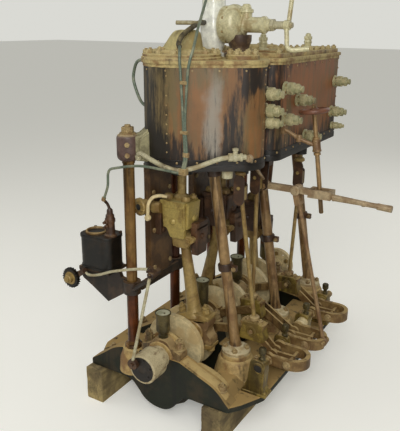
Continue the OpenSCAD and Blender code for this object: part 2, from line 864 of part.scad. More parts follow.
module lever_bracket() {
    color("dimgray") place() {
        for (s = [-1, 1]) {
            translate([lever_x, lever_y + s * 19, lever_z]) along_y(19, 8);
            slab_y(lever_y + s * 19 - 4, lever_y + s * 19 + 4) polygon([
                [lever_x - 19, lever_z], [lever_x + 19, lever_z],
                [lever_x + 26, deck_z], [lever_x - 40, deck_z]
            ]);
        }
        slab_y(lever_y - 15, lever_y + 15) polygon([
            [lever_x - 36, deck_z - 40], [lever_x + 22, deck_z - 40],
            [lever_x + 26, deck_z], [lever_x - 40, deck_z]
        ]);
        translate([lever_x, lever_y, lever_z]) along_y(9, 50);
    }
}

// Handwheel with its slanted spindle
module handwheel() {
    color("firebrick") place() translate([wheel_x, lever_y, wheel_z]) rotate([0, -spindle_tilt, 0]) {
        rotate_extrude($fn = 64) translate([50, 0]) circle(r = 7);
        cylinder(h = 20, r = 15, center = true);
        for (a = [0 : 90 : 270]) rotate([0, 90, a]) cylinder(h = 50, r = 5);
        translate([0, 0, -spindle_len]) cylinder(h = spindle_len, r = spindle_r);
        translate([0, 0, -110]) cylinder(h = 8, r = 14);
        translate([0, 0, -168]) cylinder(h = 8, r = 14);
    }
}

// Sleeve around the spindle and its stay to the casing
module spindle_stay() {
    stay_z = wheel_z - 137;
    color("tan") place() difference() {
        union() {
            translate([wheel_x, lever_y, wheel_z]) rotate([0, -spindle_tilt, 0])
                translate([0, 0, -158]) cylinder(h = 46, r = 17);
            bar([wall_x + 6, 446, stay_z + 58], [361, 452, stay_z + 26], 8);
            bar([361, 452, stay_z + 26], [432, lever_y, stay_z], 8);
            translate([361, 452, stay_z + 14]) cylinder(h = 24, r = 11);
            translate([wall_x + 5, 446, stay_z + 58]) along_x(18, 10);
        }
        translate([wheel_x, lever_y, wheel_z]) rotate([0, -spindle_tilt, 0])
            translate([0, 0, -200]) cylinder(h = 120, r = spindle_r + fit_gap);
    }
}

// Lubricator

module lubricator_bracket() {
    color("#222222") place() difference() {
        union() {
            slab_y(-6, 12) polygon([
                [-left_col_x - 8, 604], [-left_col_x - 8, 560], [-262, 486], [-350, 540],
                [ratchet_x + 8, ratchet_z - 22], [ratchet_x - 14, ratchet_z + 14], [tank_x0, tank_z0 - 12],
                [-200, tank_z0 - 12], [-190, 612]
            ]);
            translate([tank_x0, tank_y0, tank_z0 - 12]) cube([tank_w, tank_d, 12]);
            translate([ratchet_x, (ratchet_y - 22 + 6) / 2, ratchet_z]) along_y(12, 28 - ratchet_y);
            for (i = [0, 1]) translate([-left_col_x, left_y[i], 552]) cylinder(h = 52, r = 36);
            translate([-left_col_x + 24, left_y[0] + 20, 562]) cube([12, left_y[1] - left_y[0] - 40, 34]);
            pipe([[-left_col_x + 24, left_y[0] - 18, 578], [-40, -30, 640], [14, -34, 695]], 11);
            translate([14, -46, 695]) along_y(13, 34);
        }
        for (i = [0, 1]) translate([-left_col_x, left_y[i], 500]) cylinder(h = 200, r = column_r + fit_gap);
    }
}

// Oil tank with a round filling hole and the little pump on it
module lubricator_tank() {
    color("#333333") place() difference() {
        union() {
            translate([tank_x0, tank_y0, tank_z0]) cube([tank_w, tank_d, tank_h]);
            translate([-232, -10, tank_z0 + tank_h]) {
                cylinder(h = 66, r = 21);
                translate([0, 0, 66]) cylinder(h = 52, r = 14);
                translate([0, 0, 30]) cylinder(h = 16, r = 26, $fn = 6);
            }
            bar([-232, -10, 900], [-235, -40, 940], 5.5);
        }
        translate([tank_x0 + 6, tank_y0 + 6, tank_z0 + 6]) cube([tank_w - 12, tank_d - 12, tank_h - 14]);
        translate([-312, -2, tank_z0]) cylinder(h = 200, r = 36);
    }
}

module ratchet_wheel() {
    color("dimgray") place() translate([ratchet_x, ratchet_y, ratchet_z]) {
        difference() {
            union() {
                along_y(ratchet_r - 5, 16);
                for (a = [0 : 22.5 : 359]) rotate([0, a, 0])
                    translate([ratchet_r - 9, -8, -3]) cube([9, 16, 9]);
                translate([0, -8, 0]) along_y(16, 20);
            }
            along_y(12 + fit_gap, 80);
        }
    }
}

// Bell crank, ratchet arm, link and drive rod between the drum and the lubricator
module pump_drive() {
    color("tan") place() {
        translate([14, -70, 695]) {
            along_y(13, 14);
            translate([-12, -5, 0]) cube([12, 10, 22]);
        }
        pipe([[8, -72, 716], [-100, -72, 690], [-191, -72, 660], [-292, -72, 619], [-328, -72, 632]], 5);
        translate([8, -72, 719]) along_y(9, 12);
        translate([-328, -72, 632]) along_y(9, 12);
        pipe([[14, -77, 695], [-34, -143, 352]], 6);
        difference() {
            translate([-36, -138, 331]) along_y(22, 14);
            translate([-36, -138, 331]) along_y(8 + fit_gap, 40);
        }
        bar([-331, -72, 630], [-352, -72, 614], 7);
    }
}

timber_left();
timber_right();
bedplate();
bearing_caps();
oil_cups();
crankshaft();
end_drum();
con_rod_1();
con_rod_2();
con_rod_3();
crosshead_1();
crosshead_2();
crosshead_3();
guide_plates();
columns_left();
columns_right();
column_head();
cylinder_block();
casing_front();
casing_rear();
top_plate();
cylinder_covers();
cover_dome();
steam_pipe();
stop_valve();
throttle_lever();
relief_valves();
drain_cocks();
drain_pipe();
oil_pipes();
eccentric_rod_1();
eccentric_rod_2();
eccentric_rod_3();
valve_rods();
reversing_shaft();
shaft_bearings();
drag_rod();
reversing_lever();
lever_bracket();
handwheel();
spindle_stay();
lubricator_bracket();
lubricator_tank();
ratchet_wheel();
pump_drive();
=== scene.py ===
"""Looks of an old vertical steam engine with three cylinders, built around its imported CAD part.

Sizes are in millimetres from the crank axis (x), the bed's front (y) and the floor (z);
``spot`` turns them into metres in the part's own frame.
"""

import json
import logging
import math
from dataclasses import dataclass
from enum import Enum
from typing import Callable, Iterable, Iterator, Sequence

import bmesh
import bpy
from mathutils import Matrix, Vector

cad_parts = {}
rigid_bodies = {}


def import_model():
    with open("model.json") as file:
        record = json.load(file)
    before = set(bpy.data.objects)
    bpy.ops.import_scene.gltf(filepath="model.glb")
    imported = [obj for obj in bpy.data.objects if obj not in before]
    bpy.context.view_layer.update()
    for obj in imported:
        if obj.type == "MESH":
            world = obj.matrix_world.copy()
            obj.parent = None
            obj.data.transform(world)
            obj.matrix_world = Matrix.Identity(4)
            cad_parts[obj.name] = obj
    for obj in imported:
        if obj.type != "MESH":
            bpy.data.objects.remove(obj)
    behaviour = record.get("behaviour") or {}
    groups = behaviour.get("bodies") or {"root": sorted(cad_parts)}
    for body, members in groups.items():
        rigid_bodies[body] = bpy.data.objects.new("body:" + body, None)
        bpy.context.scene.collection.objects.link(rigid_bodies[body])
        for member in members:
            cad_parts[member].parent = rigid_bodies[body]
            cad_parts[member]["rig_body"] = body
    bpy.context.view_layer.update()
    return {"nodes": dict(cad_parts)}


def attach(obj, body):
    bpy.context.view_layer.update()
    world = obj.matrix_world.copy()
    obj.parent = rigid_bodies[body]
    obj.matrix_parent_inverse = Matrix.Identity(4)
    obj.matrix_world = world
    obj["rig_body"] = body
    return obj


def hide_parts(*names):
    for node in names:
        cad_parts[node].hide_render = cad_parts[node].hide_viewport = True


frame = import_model()
LOG = logging.getLogger("engine")

MM = 0.001
SHIFT = Vector((-149.8968, -516.5, 0.0))
ENGINE = "engine"

Point = tuple[float, float, float]
Corner = tuple[float, float]
Colour = tuple[float, float, float]
Socket = bpy.types.NodeSocket
Input = float | Sequence[float] | bpy.types.NodeSocket

# Places in engine millimetres that several sub-assemblies share
CRANK_Z = 311.0
DECK_Z = 1080.0
CYLINDERS = (158.0, 484.0, 810.0)
BEARINGS = (22.0, 321.0, 647.0, 973.0)
LEFT_X = -145.0
LEFT_FEET = (8.0, 321.0, 647.0, 973.0)
RIGHT_X = 225.0
RIGHT_FEET = (227.0, 634.0, 1040.0)
UP, FRONT, RIGHT = Vector((0, 0, 1)), Vector((0, -1, 0)), Vector((1, 0, 0))

# Angles over which an edge is rounded, shaded as sharp, or rounded on a CAD solid
ROUND_FROM = math.radians(32)
SHARP_FROM = math.radians(38)
CAST_FROM = math.radians(34)

# Corners closer than this are one: in millimetres for a new shape, in metres for a CAD solid;
# faces of a CAD solid that turn by less than the last are made one
WELD = 1e-4
CAST_WELD = 2e-5
CAST_FLAT = math.radians(1.0)

# Fineness and roughness of settled dust, and depth of the bumps in metres
DUST_SCALE = 26.0
DUST_ROUGH = 0.92
BUMP_DEPTH = 0.002


class Axis(Enum):
    """The way along which a turned piece stands."""

    X = Vector((1, 0, 0))
    Y = Vector((0, 1, 0))
    Z = Vector((0, 0, 1))


def spot(x: float, y: float, z: float) -> Vector:
    """Turns engine millimetres into metres in the part's frame.

    Args:
        x: Place across, from the crank axis.
        y: Place along, from the bed's front.
        z: Height over the floor.

    Returns:
        The place in the part's frame.
    """
    return (Vector((x, y, z)) + SHIFT) * MM


def linear(value: float) -> float:
    """Turns one channel of a screen colour into linear light.

    Args:
        value: The channel, 0 to 255.

    Returns:
        The same in linear light, 0 to 1.
    """
    value /= 255.0
    return value / 12.92 if value <= 0.04045 else ((value + 0.055) / 1.055) ** 2.4


def tone(red: float, green: float, blue: float) -> tuple[float, float, float, float]:
    """Turns a screen colour, 0 to 255, into linear light.

    Args:
        red: Red value.
        green: Green value.
        blue: Blue value.

    Returns:
        The linear colour with an alpha of 1.
    """
    return (linear(red), linear(green), linear(blue), 1.0)


# Shaders


class Net:
    """Adds nodes to a node tree."""

    def __init__(self, tree: bpy.types.NodeTree) -> None:
        """Takes the tree.

        Args:
            tree: Tree that the nodes go to.
        """
        self.tree = tree

    def fill(self, node: bpy.types.Node, inputs: dict[str | int, Input]) -> bpy.types.Node:
        """Sets a node's inputs, and links those that are given as a socket.

        Args:
            node: The node.
            inputs: Value or socket of each input, by its name or index.

        Returns:
            The same node.
        """
        for label, value in inputs.items():
            if isinstance(value, bpy.types.NodeSocket):
                self.tree.links.new(value, node.inputs[label])
            else:
                node.inputs[label].default_value = value
        return node

    def add(self, kind: str, inputs: dict[str | int, Input], **settings: object) -> bpy.types.Node:
        """Adds a node.

        Args:
            kind: Its type, without the leading ShaderNode.
            inputs: Value or socket of each input.
            **settings: Properties of the node, which are set first.

        Returns:
            The node.
        """
        node = self.tree.nodes.new(f"ShaderNode{kind}")
        for label, value in settings.items():
            setattr(node, label, value)
        return self.fill(node, inputs)

    def math(self, operation: str, *values: Input) -> Socket:
        """Adds a math node.

        Args:
            operation: Name of the operation.
            *values: Its inputs.

        Returns:
            The result socket.
        """
        return self.add("Math", dict(enumerate(values)), operation=operation).outputs[0]

    def vector(self, operation: str, *values: Input) -> Socket:
        """Adds a vector math node.

        Args:
            operation: Name of the operation.
            *values: Its inputs.

        Returns:
            The result socket.
        """
        return self.add("VectorMath", dict(enumerate(values)), operation=operation).outputs[0]

    def noise(self, place: Input, scale: Input, detail: float, rough: float) -> Socket:
        """Adds a noise pattern.

        Args:
            place: Coordinates that it reads.
            scale: Fineness, per metre.
            detail: Octaves.
            rough: Weight of the finer octaves.

        Returns:
            The noise value socket.
        """
        inputs = {"Vector": place, "Scale": scale, "Detail": detail, "Roughness": rough}
        return self.add("TexNoise", inputs).outputs["Fac"]

    def step(self, value: Input, low: Input, high: Input, full: float = 1.0) -> Socket:
        """Adds a smooth step.

        Args:
            value: Value that is tested.
            low: Where the step starts.
            high: Where it ends.
            full: Value at its end.

        Returns:
            The step socket.
        """
        inputs = {"Value": value, "From Min": low, "From Max": high, "To Max": full}
        return self.add("MapRange", inputs, interpolation_type="SMOOTHSTEP").outputs["Result"]

    def ramp(self, value: Input, low: float, high: float, start: float, end: float) -> Socket:
        """Adds a straight ramp.

        Args:
            value: Value that is tested.
            low: Where the ramp starts.
            high: Where it ends.
            start: Value at its start.
            end: Value at its end.

        Returns:
            The ramp socket.
        """
        inputs = {"Value": value, "From Min": low, "From Max": high, "To Min": start, "To Max": end}
        return self.add("MapRange", inputs).outputs["Result"]


class ShaderGroups:
    """Node groups shared by the finishes."""

    def __init__(self) -> None:
        """Builds every group once."""
        self.patches = self.make("patches", ("Vector", "Scale", "Amount", "Softness"), self.patchy)
        self.streaks = self.make("streaks", ("Vector", "Scale", "Amount"), self.streaky)
        self.settled = self.make("settled", ("Vector", "Facing", "Scale", "Amount"), self.dusty)
        self.grain = self.make("grain", ("Vector", "Scale"), self.grainy)
        self.edge = self.make("edge", ("Value", "Low", "High"), self.stepped)

    @staticmethod
    def make(name: str, labels: Sequence[str],
            result: Callable[[Net, bpy.types.NodeOutputs], Socket]) -> bpy.types.NodeTree:
        """Makes a group.

        Args:
            name: Name of the group.
            labels: Names of its inputs; Vector and Facing are vectors.
            result: Builds its nodes and gives the socket that it puts out.

        Returns:
            The node tree.
        """
        tree = bpy.data.node_groups.new(name, "ShaderNodeTree")
        for label in labels:
            kind = "NodeSocketVector" if label in ("Vector", "Facing") else "NodeSocketFloat"
            tree.interface.new_socket(label, in_out="INPUT", socket_type=kind)
        tree.interface.new_socket("Result", in_out="OUTPUT", socket_type="NodeSocketFloat")
        given, out = tree.nodes.new("NodeGroupInput"), tree.nodes.new("NodeGroupOutput")
        tree.links.new(result(Net(tree), given.outputs), out.inputs[0])
        return tree

    @staticmethod
    def patchy(net: Net, given: bpy.types.NodeOutputs) -> Socket:
        """Irregular patches, such as rust or worn paint: Amount 0 to 1 covers more.

        Args:
            net: The group's nodes.
            given: The group's inputs.

        Returns:
            The mask socket.
        """
        noise = net.noise(given["Vector"], given["Scale"], 8, 0.62)
        edge = net.math("MULTIPLY_ADD", given["Amount"], -0.46, 0.73)
        low = net.math("SUBTRACT", edge, given["Softness"])
        return net.step(noise, low, net.math("ADD", edge, given["Softness"]))

    @staticmethod
    def streaky(net: Net, given: bpy.types.NodeOutputs) -> Socket:
        """Streaks that run down a wall: noise drawn out along Z.

        Args:
            net: The group's nodes.
            given: The group's inputs.

        Returns:
            The mask socket.
        """
        drawn = net.vector("MULTIPLY", given["Vector"], (1.0, 1.0, 0.07))
        noise = net.noise(drawn, given["Scale"], 7, 0.66)
        edge = net.math("MULTIPLY_ADD", given["Amount"], -0.4, 0.7)
        return net.step(noise, edge, net.math("ADD", edge, 0.14))

    @staticmethod
    def dusty(net: Net, given: bpy.types.NodeOutputs) -> Socket:
        """Dust that lies on faces that look up, broken by a noise.

        Args:
            net: The group's nodes.
            given: The group's inputs.

        Returns:
            The mask socket.
        """
        facing = net.add("SeparateXYZ", {0: given["Facing"]}).outputs["Z"]
        noise = net.noise(given["Vector"], given["Scale"], 6, 0.6)
        edge = net.math("MULTIPLY_ADD", given["Amount"], -0.5, 0.72)
        spread = net.step(noise, edge, net.math("ADD", edge, 0.2))
        return net.math("MULTIPLY", net.step(facing, 0.25, 0.95), spread)

    @staticmethod
    def grainy(net: Net, given: bpy.types.NodeOutputs) -> Socket:
        """Height of a rough cast surface.

        Args:
            net: The group's nodes.
            given: The group's inputs.

        Returns:
            The height socket.
        """
        return net.noise(given["Vector"], given["Scale"], 10, 0.7)

    @staticmethod
    def stepped(net: Net, given: bpy.types.NodeOutputs) -> Socket:
        """A smooth step of a value between Low and High.

        Args:
            net: The group's nodes.
            given: The group's inputs.

        Returns:
            The mask socket.
        """
        return net.step(given["Value"], given["Low"], given["High"])


class Canvas(Net):
    """Nodes of one material, with the shared groups and the coordinates that they read."""

    def __init__(self, tree: bpy.types.NodeTree, groups: ShaderGroups) -> None:
        """Takes the material's nodes.

        Args:
            tree: The material's nodes.
            groups: Shared groups.
        """
        super().__init__(tree)
        self.groups = groups
        coordinates = self.add("TexCoord", {}).outputs
        self.place, self.facing = coordinates["Object"], coordinates["Normal"]

    def group(self, source: bpy.types.NodeTree, **inputs: Input) -> Socket:
        """Places a shared group.

        Args:
            source: The group.
            **inputs: Value or socket of each input.

        Returns:
            Its output socket.
        """
        return self.add("Group", inputs, node_tree=source).outputs[0]

    def patches(self, scale: float, amount: float, softness: float,
            place: Input | None = None) -> Socket:
        """Irregular patches.

        Args:
            scale: Fineness, per metre.
            amount: Share that they cover, 0 to 1.
            softness: Width of their edges.
            place: Coordinates that they read, where these aren't the object's.

        Returns:
            The mask socket.
        """
        read = self.place if place is None else place
        return self.group(self.groups.patches, Vector=read, Scale=scale, Amount=amount,
            Softness=softness)

    def torn(self, scale: float, reach: float, level: float) -> Socket:
        """Fine streaks drawn out along Z, centred on a level.

        Args:
            scale: Fineness, per metre.
            reach: How far the streaks swing.
            level: Their middle value.

        Returns:
            The value socket.
        """
        drawn = self.vector("MULTIPLY", self.place, (1.0, 1.0, 0.13))
        noise = self.noise(drawn, scale, 8, 0.7)
        return self.math("MULTIPLY_ADD", noise, reach, level - reach / 2)

    def lay(self, under: Input, over: Colour, mask: Socket, strength: float) -> Socket:
        """Lays a colour over another where a mask says.

        Args:
            under: Colour that is covered.
            over: Screen colour, 0 to 255.
            mask: Where it lies.
            strength: Share of the cover at the mask's full value.

        Returns:
            The mixed colour socket.
        """
        inputs = {"Factor": self.math("MULTIPLY", mask, strength), "A": under, "B": tone(*over)}
        return self.add("Mix", inputs, data_type="RGBA").outputs["Result"]

    def settle(self, under: Socket, dust: Colour, amount: float,
            strength: float) -> tuple[Socket, Socket]:
        """Lays dust on what faces up.

        Args:
            under: Colour that is covered.
            dust: Screen colour of the dust.
            amount: How much of it lies there, 0 to 1.
            strength: Share of the cover where it lies.

        Returns:
            The colour socket and the dust's mask socket.
        """
        inputs = {"Vector": self.place, "Facing": self.facing, "Scale": DUST_SCALE}
        mask = self.group(self.groups.settled, **inputs, Amount=amount)
        return self.lay(under, dust, mask, strength), mask


@dataclass(frozen=True)
class Finish:
    """A weathered surface, from its metal or paint up to the dust that lies on it.

    The layers are a base, patches of rust or bare metal over it, dark grime that runs
    down, and dust on what faces up. ``worn``, ``soiled`` and ``dusty`` say how much of
    the surface each of them takes.
    """

    name: str
    base: Colour
    patch: Colour
    grime: Colour
    dust: Colour
    worn: float = 0.4
    patch_scale: float = 14.0
    soiled: float = 0.35
    grime_scale: float = 16.0
    dusty: float = 0.6
    rough: float = 0.5
    metallic: float = 0.0
    bump: float = 0.25
    grain_scale: float = 70.0

    def colour(self, canvas: Canvas) -> tuple[Socket, Socket]:
        """Colour of the surface.

        Args:
            canvas: The material's nodes.

        Returns:
            The colour socket and the dust's mask socket.
        """
        fine = canvas.patches(self.patch_scale * 6.0, 0.5, 0.16)
        out = canvas.lay(tone(*self.base), tuple(0.72 * c for c in self.base), fine, 0.55)
        out = canvas.lay(out, self.patch, canvas.patches(self.patch_scale, self.worn, 0.07), 0.85)
        streaks = canvas.groups.streaks
        soot = canvas.group(streaks, Vector=canvas.place, Scale=self.grime_scale,
            Amount=self.soiled)
        out = canvas.lay(out, self.grime, soot, 0.75)
        return canvas.settle(out, self.dust, self.dusty, 0.85)

    def make(self, groups: ShaderGroups) -> bpy.types.Material:
        """Builds the material.

        Args:
            groups: Shared groups.

        Returns:
            The material.
        """
        material = bpy.data.materials.new(self.name)
        material.use_nodes = True
        canvas = Canvas(material.node_tree, groups)
        colour, dust = self.colour(canvas)
        rough = canvas.ramp(dust, 0.0, 1.0, self.rough, DUST_ROUGH)
        height = canvas.group(groups.grain, Vector=canvas.place, Scale=self.grain_scale)
        bump = canvas.add("Bump", {"Strength": self.bump, "Distance": BUMP_DEPTH, "Height": height})
        inputs = {"Base Color": colour, "Metallic": self.metallic, "Roughness": rough,
            "Normal": bump.outputs["Normal"]}
        canvas.fill(material.node_tree.nodes["Principled BSDF"], inputs)
        return material


@dataclass(frozen=True)
class ScorchAndHighlight:
    """A soft oval on the casing, for a scorch, a dull tan patch or a painted highlight: its middle
    and reach in engine millimetres, and its strength.
    """

    across: float
    height: float
    half_width: float
    half_height: float
    strength: float


@dataclass(frozen=True)
class BurntPaint(Finish):
    """The casing's orange-brown paint, scorched black in streaks that run down.

    ``scorched`` and ``greyed`` say where the paint is black and where it is a dull greenish tan;
    the third set of ovals and its colour are a painted highlight, pale patches that stand in
    for a lamp's reflection. ``runs`` is the axis on which ``across`` counts.
    ``foot`` and ``brow`` are the heights, in metres, over which the scorch grows towards
    the casing's bottom and top.
    """

    scorched: tuple[ScorchAndHighlight, ...] = ()
    greyed: tuple[ScorchAndHighlight, ...] = ()
    # Ovals of painted highlight: pale where a lamp's reflection falls
    painted_highlights: tuple[ScorchAndHighlight, ...] = ()
    runs: Axis = Axis.X
    grey: Colour = (100, 90, 58)
    # Colour of the painted highlight
    highlight_colour: Colour = (150, 146, 134)
    foot: Corner = (1.20, 1.09)
    brow: Corner = (1.41, 1.47)

    def ovals(self, canvas: Canvas, place: Socket, spots: tuple[ScorchAndHighlight, ...],
            total: Socket) -> Socket:
        """Adds soft ovals to a value.

        Args:
            canvas: The material's nodes.
            place: Coordinates, already shaken by a noise.
            spots: The ovals.
            total: Value that they are added to.

        Returns:
            The sum socket.
        """
        for item in spots:
            wide, tall = 1000.0 / item.half_width, 1000.0 / item.half_height
            if self.runs is Axis.X:
                middle, scale = spot(item.across, 0.0, item.height), Vector((wide, 0.0, tall))
            else:
                middle, scale = spot(0.0, item.across, item.height), Vector((0.0, wide, tall))
            away = [-a * b for a, b in zip(middle, scale)]
            shifted = canvas.vector("MULTIPLY_ADD", place, scale, away)
            far = canvas.add("VectorMath", {0: shifted}, operation="LENGTH").outputs["Value"]
            total = canvas.math("ADD", total, canvas.step(far, 1.45, 0.3, item.strength))
        return total

    def colour(self, canvas: Canvas) -> tuple[Socket, Socket]:
        """Colour of the burnt paint, with a painted highlight where a lamp's reflection falls.

        Args:
            canvas: The material's nodes.

        Returns:
            The colour socket and the dust's mask socket.
        """
        edge = canvas.groups.edge
        faded = canvas.patches(self.patch_scale, self.worn, 0.1)
        out = canvas.lay(tone(*self.base), self.patch, faded, 0.6)
        shake = canvas.add("TexNoise", {"Scale": 13.0, "Detail": 6.0, "Vector": canvas.place})
        shaken = canvas.vector("MULTIPLY_ADD", shake.outputs["Color"], (0.06, 0.06, 0.12),
            canvas.place)
        place = canvas.vector("ADD", shaken, (-0.03, -0.03, -0.06))
        grey = self.ovals(canvas, place, self.greyed, canvas.torn(34.0, 2.4, 0.26))
        out = canvas.lay(out, self.grey, canvas.group(edge, Value=grey, Low=0.2, High=0.75), 0.8)
        # Painted highlight: pale ovals and faint streaks that stand in for a lamp's reflection
        if self.painted_highlights:
            pale = self.ovals(canvas, place, self.painted_highlights, canvas.torn(22.0, 0.9, 0.1))
            out = canvas.lay(out, self.highlight_colour, canvas.group(edge, Value=pale, Low=0.15, High=1.2),
                0.8)
        height = canvas.add("SeparateXYZ", {0: canvas.place}).outputs["Z"]
        foot = canvas.ramp(height, *self.foot, 0.0, 0.6)
        ends = canvas.math("ADD", foot, canvas.ramp(height, *self.brow, 0.0, 0.3))
        streaks = canvas.math("ADD", ends, canvas.torn(62.0, 3.4, 0.22))
        black = self.ovals(canvas, place, self.scorched, streaks)
        out = canvas.lay(out, self.grime, canvas.group(edge, Value=black, Low=0.25, High=1.1), 0.94)
        return canvas.settle(out, self.dust, self.dusty, 0.85)


@dataclass(frozen=True)
class WeatheredWood(Finish):
    """Old timber with its grain along Y."""

    def colour(self, canvas: Canvas) -> tuple[Socket, Socket]:
        """Colour of the timber.

        Args:
            canvas: The material's nodes.

        Returns:
            The colour socket and the dust's mask socket.
        """
        drawn = canvas.vector("MULTIPLY", canvas.place, (1.0, 0.06, 1.0))
        fibre = canvas.patches(95.0, 0.5, 0.12, drawn)
        out = canvas.lay(tone(*self.base), tuple(0.5 * c for c in self.base), fibre, 0.7)
        out = canvas.lay(out, self.patch, canvas.patches(24.0, self.worn, 0.1, drawn), 0.6)
        out = canvas.lay(out, self.grime, canvas.patches(7.0, self.soiled, 0.12), 0.7)
        return canvas.settle(out, self.dust, self.dusty, 0.7)


